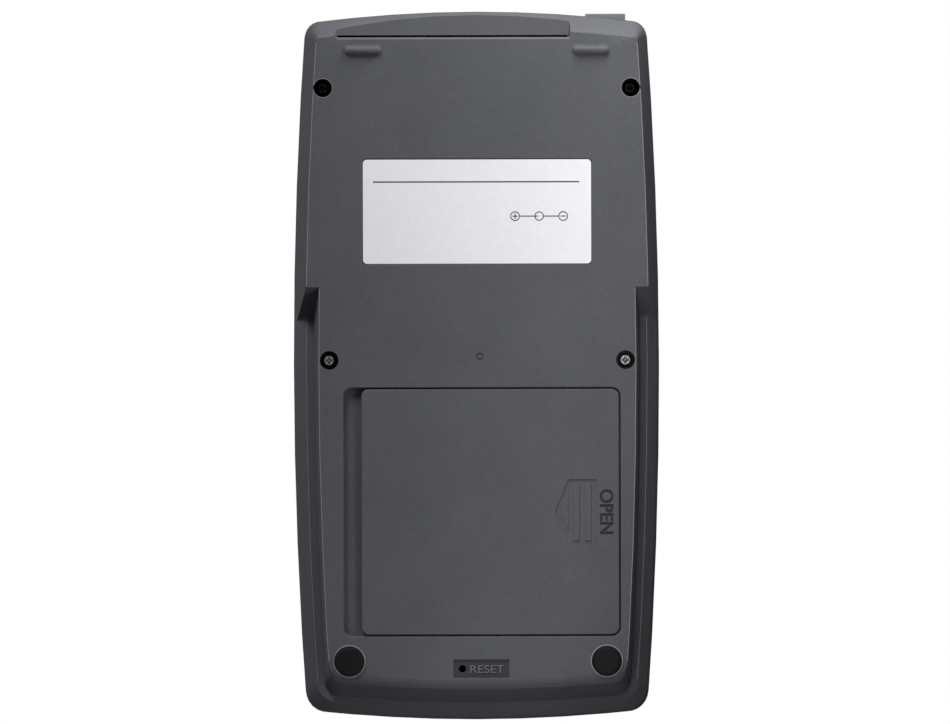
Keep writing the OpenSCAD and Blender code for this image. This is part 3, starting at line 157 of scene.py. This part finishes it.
paper.links.new(unseen.outputs[0], one_sided.inputs["Fac"])
paper.links.new(paper.nodes["Principled BSDF"].outputs[0], one_sided.inputs[1])
paper.links.new(clear.outputs[0], one_sided.inputs[2])
paper.links.new(one_sided.outputs[0], paper.nodes["Material Output"].inputs["Surface"])
floor.data.materials.append(paper_sheet)


# Bottom case
# The lower half of the housing, moulded in dark grey ABS with a fine spark-eroded grain and small
# radii on every outer edge. It carries the battery bay, the screw wells and the paper inlet.
def grain_group():
    """Moulding grain: a fine height, and a slow tone that drifts over the piece."""
    group = bpy.data.node_groups.new("moulding_grain", "ShaderNodeTree")
    for name in ("Grain Scale", "Tone Scale"):
        group.interface.new_socket(name, in_out="INPUT", socket_type="NodeSocketFloat")
    for name in ("Height", "Tone", "Speck"):
        group.interface.new_socket(name, in_out="OUTPUT", socket_type="NodeSocketFloat")
    entry = group.nodes.new("NodeGroupInput")
    end = group.nodes.new("NodeGroupOutput")
    place = group.nodes.new("ShaderNodeTexCoord")
    for scale, detail, result in (("Grain Scale", 3, "Height"), ("Tone Scale", 4, "Tone")):
        noise = group.nodes.new("ShaderNodeTexNoise")
        noise.inputs["Detail"].default_value = detail
        group.links.new(place.outputs["Object"], noise.inputs["Vector"])
        group.links.new(entry.outputs[scale], noise.inputs["Scale"])
        group.links.new(noise.outputs["Fac"], end.inputs[result])
    cells = group.nodes.new("ShaderNodeTexVoronoi")
    group.links.new(place.outputs["Object"], cells.inputs["Vector"])
    group.links.new(entry.outputs["Grain Scale"], cells.inputs["Scale"])
    group.links.new(cells.outputs["Color"], end.inputs["Speck"])
    return group


moulding_grain = grain_group()


def grained(name, colour, roughness, grain=1600, depth=0.03, tone=45, drift=0.05, metal=0.0,
            specular=0.3):
    """A surface with a fine grain: plastic, rubber, foil or plated metal, by its values."""
    speck_share, gloss_swing = 0.5, 0.07
    material = bpy.data.materials.new(name)
    material.use_nodes = True
    nodes = material.node_tree.nodes
    link = material.node_tree.links.new
    surface = nodes["Principled BSDF"]
    surface.inputs["Metallic"].default_value = metal
    surface.inputs["Specular IOR Level"].default_value = specular
    texture = nodes.new("ShaderNodeGroup")
    texture.node_tree = moulding_grain
    texture.inputs["Grain Scale"].default_value = grain
    texture.inputs["Tone Scale"].default_value = tone
    blend = nodes.new("ShaderNodeMath")
    blend.operation = "MULTIPLY_ADD"
    blend.inputs[1].default_value = speck_share
    link(texture.outputs["Speck"], blend.inputs[0])
    link(texture.outputs["Tone"], blend.inputs[2])
    shade = nodes.new("ShaderNodeMix")
    shade.data_type = "RGBA"
    shade.inputs["A"].default_value = (*[c * (1 - 2 * drift) for c in colour], 1)
    shade.inputs["B"].default_value = (*[min(1, c * (1 + 1.2 * drift)) for c in colour], 1)
    link(blend.outputs[0], shade.inputs["Factor"])
    link(shade.outputs["Result"], surface.inputs["Base Color"])
    gloss = nodes.new("ShaderNodeMapRange")
    gloss.inputs["To Min"].default_value = roughness - gloss_swing
    gloss.inputs["To Max"].default_value = roughness + gloss_swing
    link(texture.outputs["Tone"], gloss.inputs["Value"])
    link(gloss.outputs["Result"], surface.inputs["Roughness"])
    bump = nodes.new("ShaderNodeBump")
    bump.inputs["Strength"].default_value = 0.5
    bump.inputs["Distance"].default_value = depth * mm
    link(texture.outputs["Height"], bump.inputs["Height"])
    link(bump.outputs["Normal"], surface.inputs["Normal"])
    return material


def piece(name, shape, body, material, sharp=40):
    """A new object from a bmesh, riding on a body, with its finish."""
    mesh = bpy.data.meshes.new(name)
    shape.to_mesh(mesh)
    shape.free()
    mesh.shade_smooth()
    mesh.set_sharp_from_angle(angle=radians(sharp))
    item = bpy.data.objects.new(name, mesh)
    scene.collection.objects.link(item)
    mesh.materials.append(material)
    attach(item, body)
    return item


def merged(node):
    """A merged copy of a node's mesh."""
    shape = bmesh.new()
    shape.from_mesh(frame["nodes"][node].data)
    bmesh.ops.remove_doubles(shape, verts=shape.verts, dist=0.001 * mm)
    return shape


def bevel(shape, edges, radius, segments):
    """Rounds the given edges of a shape."""
    bmesh.ops.bevel(shape, geom=edges, offset=radius, offset_type="OFFSET", affect="EDGES",
                    segments=segments, profile=0.5, material=-1, clamp_overlap=False, loop_slide=False)


def both_sides(places):
    """Places on one side of the middle, and the same ones on the other side."""
    return [(way * x, y, wide, long) for x, y, wide, long in places for way in (1, -1)]


def round_edges(shape, radius, fine=()):
    """Rounds the sharp edges that open air can reach, and less in places of fine detail.

    Each place is the middle and the half width and half length of a field in plan, in millimetres.
    """
    fine_radius, least_share = 0.07 * mm, 0.6
    least_angle, clearance = radians(28), 0.02 * mm
    for reach, inside in ((fine_radius, True), (radius, False)):
        shape.normal_update()
        around = BVHTree.FromBMesh(shape)
        sharp = []
        for edge in shape.edges:
            middle = (edge.verts[0].co + edge.verts[1].co) / 2
            within = any(abs(middle.x - x * mm) < wide * mm and abs(middle.y - y * mm) < long * mm
                         for x, y, wide, long in fine)
            if within != inside or len(edge.link_faces) != 2 or edge.calc_length() < least_share * reach:
                continue
            if edge.calc_face_angle() < least_angle:
                continue
            outward = (edge.link_faces[0].normal + edge.link_faces[1].normal).normalized()
            if around.ray_cast(middle + outward * clearance, outward)[0] is None:
                sharp.append(edge)
        bevel(shape, sharp, reach, 3)
    return shape


def even_shading(item):
    """Shades the flat faces flat and leaves the turn to the rounded edges."""
    even = item.modifiers.new("even_shading", "WEIGHTED_NORMAL")
    even.keep_sharp = True


def softened(node, radius, material, fine=(), shape=None):
    """A node's own shape with rounded edges, shown in place of the node."""
    body = frame["nodes"][node]["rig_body"]
    rounded = round_edges(shape or merged(node), radius, fine)
    item = piece(node + "_finished", rounded, body, material)
    even_shading(item)
    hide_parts(node)
    return item


case_plastic = grained("case_plastic", (0.088, 0.09, 0.099), 0.66, depth=0.05, drift=0.08, specular=0.0)
reset_place, gate_place = (-0.9, -84.5, 8.4, 3.2), (-0.6, 2.4, 2, 2)
foot_place = (35.9, -82.4, 5.2, 5.2)
rear_well_place, middle_well_place = (42.9, 77.4, 3.2, 3.2), (41.4, 1.5, 3.2, 3.2)
rear_side_place, bulge_side_place = (45, 58, 4, 36), (42.9, -30, 3, 52.2)
paired_places = foot_place, rear_side_place, bulge_side_place, rear_well_place, middle_well_place
front_roll_start, front_roll_radius, moulded_radius = -87.1 * mm, 1 * mm, 0.3 * mm
bottom_shape = merged("bottom_case")
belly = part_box("battery_door")[0].z
front_roll = [edge for edge in bottom_shape.edges
              if all(abs(vert.co.z - belly) < 0.02 * mm and vert.co.y < front_roll_start
                     for vert in edge.verts)
              and len(edge.link_faces) == 2 and edge.calc_face_angle() > radians(15)]
bevel(bottom_shape, front_roll, front_roll_radius, 5)
softened("bottom_case", moulded_radius, case_plastic,
         fine=(reset_place, gate_place, *both_sides(paired_places)), shape=bottom_shape)


def evaluated_shape(holder):
    """The finished mesh of a helper object as a bmesh; the helper is removed."""
    mesh = bpy.data.meshes.new_from_object(
        holder.evaluated_get(bpy.context.evaluated_depsgraph_get()))
    shape = bmesh.new()
    shape.from_mesh(mesh)
    bpy.data.objects.remove(holder)
    bpy.data.meshes.remove(mesh)
    return shape


def lettering(words, height, weight=0.0):
    """Flat words about the origin, with capitals of a given height."""
    capital_share = 0.729
    text = bpy.data.curves.new("words", "FONT")
    text.body = words
    text.align_x = "CENTER"
    text.size = height / capital_share
    text.offset = weight * height
    holder = bpy.data.objects.new("words", text)
    scene.collection.objects.link(holder)
    shape = evaluated_shape(holder)
    bmesh.ops.remove_doubles(shape, verts=shape.verts, dist=0.002 * mm)
    bmesh.ops.translate(shape, verts=shape.verts, vec=(0, -height / 2, 0))
    return shape


def thicken(shape, depth):
    """Raises a flat shape into a closed solid, by a vector."""
    grown = bmesh.ops.extrude_face_region(shape, geom=shape.faces[:])
    moved = [part for part in grown["geom"] if isinstance(part, bmesh.types.BMVert)]
    bmesh.ops.translate(shape, verts=moved, vec=depth)
    bmesh.ops.recalc_face_normals(shape, faces=shape.faces)
    return shape


def prism(points, low, high):
    """An upright solid over an outline, between two heights."""
    shape = bmesh.new()
    shape.faces.new([shape.verts.new((x, y, low)) for x, y in points])
    return thicken(shape, (0, 0, high - low))


def strip(x0, y0, x1, y1, low, high):
    """A flat bar between two corners."""
    return prism([(x0, y0), (x1, y0), (x1, y1), (x0, y1)], low, high)


def ring(x, y, radius, width, low, high, segments=32):
    """A flat ring about a point."""
    shape = bmesh.new()
    bmesh.ops.create_circle(shape, cap_ends=True, radius=radius, segments=segments)
    bmesh.ops.inset_region(shape, faces=shape.faces[:], thickness=width, use_boundary=True,
                           use_even_offset=True)
    inner = min(shape.faces, key=lambda face: face.calc_center_median().length)
    bmesh.ops.delete(shape, geom=[inner], context="FACES")
    bmesh.ops.translate(shape, verts=shape.verts, vec=(x, y, low))
    return thicken(shape, (0, 0, high - low))


def add_to(shape, extra):
    """Puts a second bmesh into the first."""
    mesh = bpy.data.meshes.new("extra")
    extra.to_mesh(mesh)
    extra.free()
    shape.from_mesh(mesh)
    bpy.data.meshes.remove(mesh)


def strips(corners, low, high):
    """Flat bars between pairs of corners, given in millimetres, in one shape."""
    shape = bmesh.new()
    for x0, y0, x1, y1 in corners:
        add_to(shape, strip(x0 * mm, y0 * mm, x1 * mm, y1 * mm, low, high))
    return shape


# Reading directions on the underside, as seen from below with the rear edge up
from_below = Matrix(((-1, 0, 0), (0, 1, 0), (0, 0, -1))).to_4x4()
down_the_side = Matrix(((0, -1, 0), (-1, 0, 0), (0, 0, -1))).to_4x4()

# The reset recess, with a raised word beside the pinhole
reset_floor = belly + 0.5 * mm
reset_middle = Vector((-2.4 * mm, -84.5 * mm, reset_floor + 0.1 * mm))
letter_stretch, letter_rise = 1.16, 0.45 * mm
reset_word = lettering("RESET", 2.3 * mm)
bmesh.ops.scale(reset_word, verts=reset_word.verts, vec=(letter_stretch, 1, 1))
bmesh.ops.transform(reset_word, verts=reset_word.verts,
                    matrix=Matrix.Translation(reset_middle) @ from_below)
thicken(reset_word, (0, 0, -letter_rise))
# The raised word is a paler copy of the case plastic, a painted highlight on its lit tops
painted_lit_plastic = grained("painted_lit_plastic", (0.112, 0.113, 0.122), 0.5, specular=0.2)
piece("reset_word", reset_word, "case", painted_lit_plastic, sharp=20)

# A darker film over the recess floor, round the pinhole, is painted shade
floor_film, hole_film = 0.04 * mm, 0.03 * mm
hole_x, hole_y, hole_reach, hole_width = 4.36 * mm, -84.5 * mm, 1.66 * mm, 0.56 * mm
round_the_hole = ((3.2, -86.9, -8.5, -82.1), (6.7, -86.9, 5.5, -82.1), (5.5, -86.9, 3.2, -85.65),
                  (5.5, -83.35, 3.2, -82.1))
reset_painted_shade = strips(round_the_hole, reset_floor - floor_film, reset_floor + floor_film)
add_to(reset_painted_shade, ring(hole_x, hole_y, hole_reach, hole_width, reset_floor - hole_film,
                         reset_floor + hole_film))
# A darker copy of the case plastic, used as painted shade in the reset recess, the paper chute and the sunk
# word
painted_shade_plastic = grained("painted_shade_plastic", (0.041, 0.042, 0.047), 0.5, depth=0.01, specular=0.05)
piece("reset_painted_shade", reset_painted_shade, "case", painted_shade_plastic)

# A darker film on the paper chute is painted shade
chute_way = Vector((0, 0.88, -0.48)).normalized()
chute_film = 0.03 * mm
chute_painted_shade = merged("bottom_case")
chute_painted_shade.normal_update()
others = [face for face in chute_painted_shade.faces if face.normal.dot(chute_way) < 0.9995]
bmesh.ops.delete(chute_painted_shade, geom=others, context="FACES")
bmesh.ops.translate(chute_painted_shade, verts=chute_painted_shade.verts, vec=chute_way * chute_film)
thicken(chute_painted_shade, chute_way * -2 * chute_film)
piece("chute_painted_shade", chute_painted_shade, "case", painted_shade_plastic)

# Pale lines along the long edges of the belly, the bulge and the slab, the lip of the inlet and
# the rims of the rear wells are painted highlights
slab = 13.2 * mm
film_out, film_in = 0.02 * mm, 0.05 * mm
line_width = 0.16
well_x, well_y, well_rim, well_line = 42.89 * mm, 77.4 * mm, 2.72 * mm, 0.13 * mm
inlet_lip = (39, 90.95, -25.7, 91.2)
belly_edge = (47.66, 22.2), (47.63, 24.89), (46.94, 49.77), (45.79, 74.63), (44.81, 90)
bulge_edge = ((44.06, 21.5), (44.26, 0), (44.03, -24.82), (43.34, -49.64), (42.2, -74.43),
              (41.68, -82.3))
slab_edge = ((47.48, 13.6), (47.6, 0), (47.37, -24.89), (46.68, -49.77), (45.53, -74.63),
             (44.67, -87.5))
highlight_lines = strips([inlet_lip], belly - film_out, belly + film_in)
for way in (1, -1):
    for edge, level in ((belly_edge, belly), (bulge_edge, belly), (slab_edge, slab)):
        outline = [*edge, *[(x - line_width, y) for x, y in reversed(edge)]]
        add_to(highlight_lines, prism([(way * x * mm, y * mm) for x, y in outline],
                             level - film_out, level + film_in))
    add_to(highlight_lines, ring(way * well_x, well_y, well_rim, well_line, belly - film_out, belly + film_in))
# A paler copy of the case plastic, used for painted highlights on edges and rims
painted_highlight_plastic = grained("painted_highlight_plastic", (0.2, 0.2, 0.215), 0.5, specular=0.3)
piece("painted_edge_highlights", highlight_lines, "case", painted_highlight_plastic)


# Battery contacts and springs
# Nickel plated plates and conical springs that link the cells in series. The plates are stamped
# from strip, and each spring is wound from wire with its wide turn against a plate.
def dress(material, *nodes):
    """Gives CAD nodes their finish."""
    for node in nodes:
        frame["nodes"][node].material_slots[0].material = material


nickel = grained("nickel_plate", (0.72, 0.71, 0.68), 0.28, grain=900, depth=0.004, metal=1.0)
dress(nickel, "battery_contacts")
spring_low, spring_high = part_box("battery_springs")
wire = 0.35 * mm
coil_length = 8 * mm
base_radius = 4.4 * mm
tip_radius = 2.8 * mm
turns = 5
steps = 16 * turns
cells = 4
cell_pitch = (spring_high.y - spring_low.y - 2 * (base_radius + wire)) / (cells - 1)
coils = bpy.data.curves.new("coils", "CURVE")
coils.dimensions = "3D"
coils.bevel_depth = wire
coils.bevel_resolution = 2
coils.use_fill_caps = True
for cell in range(cells):
    start = spring_low.x if cell % 2 == 0 else spring_high.x
    ahead = 1 if cell % 2 == 0 else -1
    line = coils.splines.new("POLY")
    line.points.add(steps)
    for step, point in enumerate(line.points):
        share = step / steps
        radius = base_radius + (tip_radius - base_radius) * share
        angle = share * turns * tau
        point.co = (start + ahead * (wire + share * (coil_length - 2 * wire)),
                    spring_low.y + wire + base_radius + cell * cell_pitch + radius * cos(angle),
                    (spring_low.z + spring_high.z) / 2 + radius * sin(angle), 1)
wound = bpy.data.objects.new("coils", coils)
scene.collection.objects.link(wound)
spring_shape = evaluated_shape(wound)
bmesh.ops.remove_doubles(spring_shape, verts=spring_shape.verts, dist=0.002 * mm)
springs = piece("contact_springs", spring_shape, "case", nickel, sharp=60)
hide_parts("battery_springs")


# Battery door
# A flat moulded door that slides towards +X and hooks behind the ledges of its pocket. An arrow is
# sunk into its outer face, with two grip bars and a point left standing, and a word beside it.
def carved(shape, cutter):
    """A solid with another one cut out of it."""
    holders = []
    for part in (shape, cutter):
        mesh = bpy.data.meshes.new("part")
        part.to_mesh(mesh)
        part.free()
        holder = bpy.data.objects.new("part", mesh)
        scene.collection.objects.link(holder)
        holders.append(holder)
    body, tool = holders
    cut = body.modifiers.new("cut", "BOOLEAN")
    cut.object = tool
    cut.solver = "EXACT"
    meshes = [holder.data for holder in holders]
    result = evaluated_shape(body)
    bpy.data.objects.remove(tool)
    for mesh in meshes:
        bpy.data.meshes.remove(mesh)
    return result


arrow_place = (-27.4, -40.8, 6.4, 9.6)
word_depth, word_film, cutter_lead = 0.45 * mm, 0.04 * mm, 1 * mm
word_middle = Vector((-36.05 * mm, -40.9 * mm, belly - cutter_lead))
door_shape = round_edges(merged("battery_door"), moulded_radius, fine=(arrow_place,))
open_word = lettering("OPEN", 3.75 * mm, weight=0.04)
bmesh.ops.scale(open_word, verts=open_word.verts, vec=(0.95, 1, 1))
bmesh.ops.transform(open_word, verts=open_word.verts,
                    matrix=Matrix.Translation(word_middle) @ down_the_side)
# A darker film on the floor of the sunk word is painted shade
open_painted_shade = open_word.copy()
bmesh.ops.translate(open_painted_shade, verts=open_painted_shade.verts,
                    vec=(0, 0, cutter_lead + word_depth - word_film))
thicken(open_painted_shade, (0, 0, word_film))
piece("open_painted_shade", open_painted_shade, "battery_door", painted_shade_plastic)
door_shape = carved(door_shape, thicken(open_word, (0, 0, cutter_lead + word_depth)))
battery_door = piece("battery_door_finished", door_shape, "battery_door", case_plastic)
even_shading(battery_door)
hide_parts("battery_door")

# Rating label
# A satin silver film stuck into a shallow recess. It carries a printed rule and the sign for a plug
# with its polarity, and no words.
label_film = grained("label_film", (0.72, 0.72, 0.757), 0.42, grain=700, depth=0.004, tone=20, drift=0.03)
dress(label_film, "rating_label")
ink = grained("black_ink", (0.012, 0.012, 0.013), 0.5, depth=0.002)
label_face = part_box("rating_label")[0].z
print_low, print_high = label_face - 0.02 * mm, label_face + 0.02 * mm
sign_y, plus_x, pin_x, plug_x, minus_x = 41.6, -10.6, -17, -17.3, -24
line_half, stroke_half = 0.14, 0.75
sign_radius, plug_radius, sign_line = 1.35, 1.3, 0.26
rule = (29, 51, -28.5, 51.35)
label_print = strips([rule], print_low, print_high)
for x in (plus_x, minus_x):
    add_to(label_print, ring(x * mm, sign_y * mm, sign_radius * mm, sign_line * mm, print_low, print_high))
    level_stroke = (x - stroke_half, sign_y - line_half, x + stroke_half, sign_y + line_half)
    add_to(label_print, strips([level_stroke], print_low, print_high))
upright_stroke = (plus_x - line_half, sign_y - stroke_half, plus_x + line_half, sign_y + stroke_half)
plus_lead = (plus_x - sign_radius, sign_y - line_half, pin_x, sign_y + line_half)
minus_lead = (plug_x - plug_radius, sign_y - line_half, minus_x + sign_radius, sign_y + line_half)
add_to(label_print, strips([upright_stroke, plus_lead, minus_lead], print_low, print_high))
add_to(label_print, ring(plug_x * mm, sign_y * mm, plug_radius * mm, sign_line * mm, print_low, print_high))
piece("label_print", label_print, "case", ink)

# Rubber feet
# Two round feet of black rubber, glued into recesses and domed a little at the edge. A raised rim of the
# case runs round each foot, paler than the belly as a painted highlight on its edge.
foot_rubber = grained("foot_rubber", (0.006, 0.006, 0.006), 0.5, grain=1100, depth=0.02, drift=0.12,
                      specular=0.06)
softened("rubber_feet", 0.45 * mm, foot_rubber)
foot_x, foot_y, rim_radius, rim_width = 35.9 * mm, -82.4 * mm, 4.62 * mm, 0.46 * mm
rim_low, rim_high = belly - 0.37 * mm, belly + 0.2 * mm
# Each rim is in the paler plastic of the painted highlights
for side_name, x in (("left", -foot_x), ("right", foot_x)):
    rim = ring(x, foot_y, rim_radius, rim_width, rim_low, rim_high, segments=72)
    piece(f"foot_rim_{side_name}", round_edges(rim, 0.18 * mm), "case", painted_highlight_plastic)

# Case screws
# Four pan head screws at the bottom of their wells, with a cross recess. The two in the middle are plated;
# the two in the deep wells at the rear are the same screws painted nearly black, as painted shade.
screw_steel = grained("screw_steel", (0.24, 0.235, 0.23), 0.42, grain=2600, depth=0.004, metal=1.0)
# Steel painted nearly black, painted shade for the screws in the deep rear wells
painted_shade_steel = grained("painted_shade_steel", (0.05, 0.049, 0.048), 0.5, grain=2600, depth=0.004, metal=1.0)
between_rows = 40 * mm
for name, finish, at_rear in (("middle_screws", screw_steel, False), ("rear_screws", painted_shade_steel, True)):
    shape = merged("case_screws")
    others = [vert for vert in shape.verts if (vert.co.y > between_rows) != at_rear]
    bmesh.ops.delete(shape, geom=others, context="VERTS")
    screws = piece(name, round_edges(shape, 0.14 * mm), "case", finish)
    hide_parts("case_screws")

# Circuit board, keypad mat, reset switch and adaptor jack
# A green glass fibre board hangs on bosses under the keys, with a grey rubber mat of contact domes on
# it. The reset switch is soldered under the board, over the pinhole, and the jack has a steel pin.
solder_mask = grained("solder_mask", (0.02, 0.13, 0.05), 0.35, grain=500, depth=0.01, tone=160, drift=0.2)
dress(solder_mask, "main_board")
dress(screw_steel, "board_screws")
dress(grained("mat_silicone", (0.42, 0.43, 0.44), 0.7, grain=900, depth=0.02), "keypad_mat")
black_nylon = grained("black_nylon", (0.016, 0.016, 0.017), 0.55, grain=1200, depth=0.02, drift=0.1)
dress(black_nylon, "reset_switch", "dc_jack")
dress(grained("button_acetal", (0.6, 0.6, 0.57), 0.4, depth=0.01), "reset_button")
jack_low, jack_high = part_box("dc_jack")
pin_radius, pin_length, pin_set_back = 1.06 * mm, 7 * mm, 4.98 * mm
pin_middle = (jack_low + jack_high) / 2
pin_middle.y = jack_high.y - pin_set_back
pin = bmesh.new()
bmesh.ops.create_cone(pin, cap_ends=True, segments=32, radius1=pin_radius, radius2=pin_radius,
                      depth=pin_length)
bmesh.ops.transform(pin, verts=pin.verts,
                    matrix=Matrix.Translation(pin_middle) @ Matrix.Rotation(pi / 2, 4, "X"))
piece("jack_pin", pin, "case", screw_steel)

# Printer
# A drum printer in a black frame: a type drum between two side plates, a foam roller that inks it, a
# feed roller below, gears in natural nylon and a small motor with a brass pinion.
frame_plastic = grained("frame_plastic", (0.028, 0.028, 0.03), 0.55, grain=1000, drift=0.08)
dress(frame_plastic, "printer_frame", "hammer_bank")
type_drum = grained("type_drum", (0.05, 0.05, 0.055), 0.4, grain=700, depth=0.05, drift=0.15)
dress(type_drum, "print_drum")
dress(grained("natural_nylon", (0.7, 0.68, 0.6), 0.5, depth=0.01), "drum_gear", "feed_gear")
ink_foam = grained("ink_foam", (0.025, 0.018, 0.06), 0.95, grain=1400, depth=0.2, drift=0.2)
dress(ink_foam, "ink_roller")
feed_rubber = grained("feed_rubber", (0.02, 0.02, 0.02), 0.7, grain=1500, depth=0.03, drift=0.1)
dress(feed_rubber, "feed_roller")
motor_can = grained("motor_can", (0.62, 0.62, 0.62), 0.3, grain=800, depth=0.005, metal=1.0)
dress(motor_can, "drive_motor")
cut_brass = grained("cut_brass", (0.7, 0.52, 0.22), 0.3, grain=900, depth=0.005, metal=1.0)
dress(cut_brass, "motor_pinion")

# Top case
# The upper half of the housing, in a slightly lighter grey with the same grain: keypad deck, display
# slope and printer roof in one moulding.
top_plastic = grained("top_plastic", (0.118, 0.121, 0.131), 0.6, specular=0.1)
roof_places = both_sides(((44.6, 92.6, 4, 4), (45.4, 77.6, 2, 2)))
top_case = softened("top_case", moulded_radius, top_plastic, fine=roof_places)

# Printer cover and tear bar
# The cover turns on two pins at the front of the printer roof. The tear bar behind the paper exit is
# a stamped steel strip with a row of teeth.
softened("printer_cover", moulded_radius, top_plastic)
tear_steel = grained("tear_steel", (0.3, 0.3, 0.31), 0.4, grain=1200, depth=0.006, metal=1.0)
dress(tear_steel, "tear_bar")

# Display
# A liquid crystal panel under a clear window. The window is printed black round the visible field,
# and the panel shows a nought and its point.
window = bpy.data.materials.new("window_acrylic")
window.use_nodes = True
pane = window.node_tree.nodes["Principled BSDF"]
pane.inputs["Base Color"].default_value = (0.02, 0.024, 0.024, 1)
pane.inputs["Roughness"].default_value = 0.03
pane.inputs["Specular IOR Level"].default_value = 1.0
pane.inputs["Alpha"].default_value = 0.16
dress(window, "display_window")
display_glass = grained("display_glass", (0.34, 0.39, 0.31), 0.3, grain=300, depth=0.002, tone=30)
dress(display_glass, "display_panel")
dress(grained("ribbon_film", (0.5, 0.25, 0.05), 0.35, depth=0.004), "display_ribbon")
slope_angle = radians(29.15)


def on_slope(node):
    """The place and tilt of a piece of the display."""
    low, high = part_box(node)
    return Matrix.Translation((low + high) / 2) @ Matrix.Rotation(slope_angle, 4, "X")


mask_x, mask_y, field_x, field_y = 32.6, 9.6, 29, 6.4
mask_bars = ((-mask_x, field_y, mask_x, mask_y), (-mask_x, -mask_y, mask_x, -field_y),
             (-mask_x, -field_y, -field_x, field_y), (field_x, -field_y, mask_x, field_y))
mask = strips(mask_bars, -0.55 * mm, -0.51 * mm)
bmesh.ops.transform(mask, verts=mask.verts, matrix=on_slope("display_window"))
piece("window_mask", mask, "case", ink)


def segment(x, y, length, upright):
    """One bar of a leaning figure, pointed at both ends, in millimetres."""
    bar_half, lean, low, high = 0.45, 0.12, 1.28 * mm, 1.33 * mm
    reach = length / 2
    outline = [(-reach, 0), (bar_half - reach, bar_half), (reach - bar_half, bar_half),
               (reach, 0), (reach - bar_half, -bar_half), (bar_half - reach, -bar_half)]
    if upright:
        outline = [(-v, u) for u, v in outline]
    return prism([((x + u + lean * (y + v)) * mm, (y + v) * mm) for u, v in outline], low, high)


bar_length, point_length = 3.7, 1.1
nought = ((24.5, 4, False), (24.5, -4, False), (22.5, 2, True), (26.5, 2, True), (22.5, -2, True),
          (26.5, -2, True))
figure = bmesh.new()
for x, y, upright in nought:
    add_to(figure, segment(x, y, bar_length, upright))
add_to(figure, segment(28.2, -4, point_length, False))
bmesh.ops.transform(figure, verts=figure.verts, matrix=on_slope("display_panel"))
piece("display_figure", figure, "case", ink)


# Slide switches
# Three black knobs with grip ribs, each on a plate that slides under the deck. Small white words on
# the deck name the places of each knob.
knob_plastic = grained("knob_plastic", (0.022, 0.022, 0.024), 0.5, drift=0.08)
for knob in ("power_switch_knob", "rounding_switch_knob", "decimal_switch_knob"):
    softened(knob, 0.15 * mm, knob_plastic)


def printed(shape, carrier, towards, film=0.03 * mm):
    """Lays a flat shape on a finished piece, along a direction, as a film of ink."""
    start = 100 * mm
    bare = BVHTree.FromObject(carrier, bpy.context.evaluated_depsgraph_get())
    for vert in shape.verts:
        place = bare.ray_cast(vert.co - towards * start, towards)[0]
        vert.co = place + towards * film / 2
    return thicken(shape, -towards * film)


white_ink = grained("white_ink", (0.75, 0.75, 0.73), 0.5, depth=0.002)
down = Vector((0, 0, -1))
word_height, word_step, word_gap = 1.5 * mm, 4.2 * mm, 1.4 * mm
switch_words = {"power_switch_knob": ("OFF", "ON", "P"), "rounding_switch_knob": ("F", "5/4", "C"),
                "decimal_switch_knob": ("0", "2", "3")}
for knob, words in switch_words.items():
    knob_low, knob_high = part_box(knob)
    for place, word in zip((-1, 0, 1), words):
        shape = lettering(word, word_height)
        word_x = (knob_low.x + knob_high.x) / 2 + place * word_step
        bmesh.ops.translate(shape, verts=shape.verts, vec=(word_x, knob_high.y + word_gap, 0))
        shape = printed(shape, top_case, down)
        piece(f"{knob}_word_{place + 1}", shape, "case", white_ink)

# Keys
# Hollow drafted caps with a dished top, each on its own rubber dome. The digits are light, the
# function keys dark and the two clearing keys warm, with printed legends.
key_finish = {
    "key_dark": grained("dark_key", (0.045, 0.047, 0.052), 0.45, grain=1900, depth=0.02),
    "key_light": grained("light_key", (0.6, 0.6, 0.57), 0.45, grain=1900, depth=0.02, drift=0.03),
    "key_warm": grained("warm_key", (0.5, 0.1, 0.035), 0.45, grain=1900, depth=0.02)}
legends = {
    "paper_feed": "↑", "memory_recall": "MR", "memory_minus": "M−", "memory_plus": "M+",
    "divide": "÷", "backspace": "→", "root": "√", "percent": "%", "sign": "+/−",
    "multiply": "×", "subtotal": "◊", "minus": "−", "non_add": "#", "plus": "+",
    "clear_entry": "CE", "all_clear": "AC", "double_zero": "00", "decimal": ".", "equals": "="}
single_height, group_height = 4.2 * mm, 3 * mm
slice_width, slices_aside = 0.6 * mm, 8
slots = {part["node"]: part["material_slot"] for part in frame["record"]["subparts"]}
for node in [name for name in frame["nodes"] if name.startswith("key_")]:
    cap = softened(node, moulded_radius, key_finish[slots[node]])
    legend = legends.get(node[4:], node[4:])
    key_low, key_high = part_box(node)
    shape = lettering(legend, single_height if len(legend) == 1 else group_height)
    # Sliced, so that the print follows the dish
    for cut in range(-slices_aside, slices_aside + 1):
        bmesh.ops.bisect_plane(shape, geom=shape.verts[:] + shape.edges[:] + shape.faces[:],
                               plane_co=(cut * slice_width, 0, 0), plane_no=(1, 0, 0))
    bmesh.ops.translate(shape, verts=shape.verts,
                        vec=((key_low.x + key_high.x) / 2, (key_low.y + key_high.y) / 2, 0))
    shape = printed(shape, cap, down)
    body = frame["nodes"][node]["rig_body"]
    legend_ink = ink if slots[node] == "key_light" else white_ink
    piece(node + "_legend", shape, body, legend_ink)
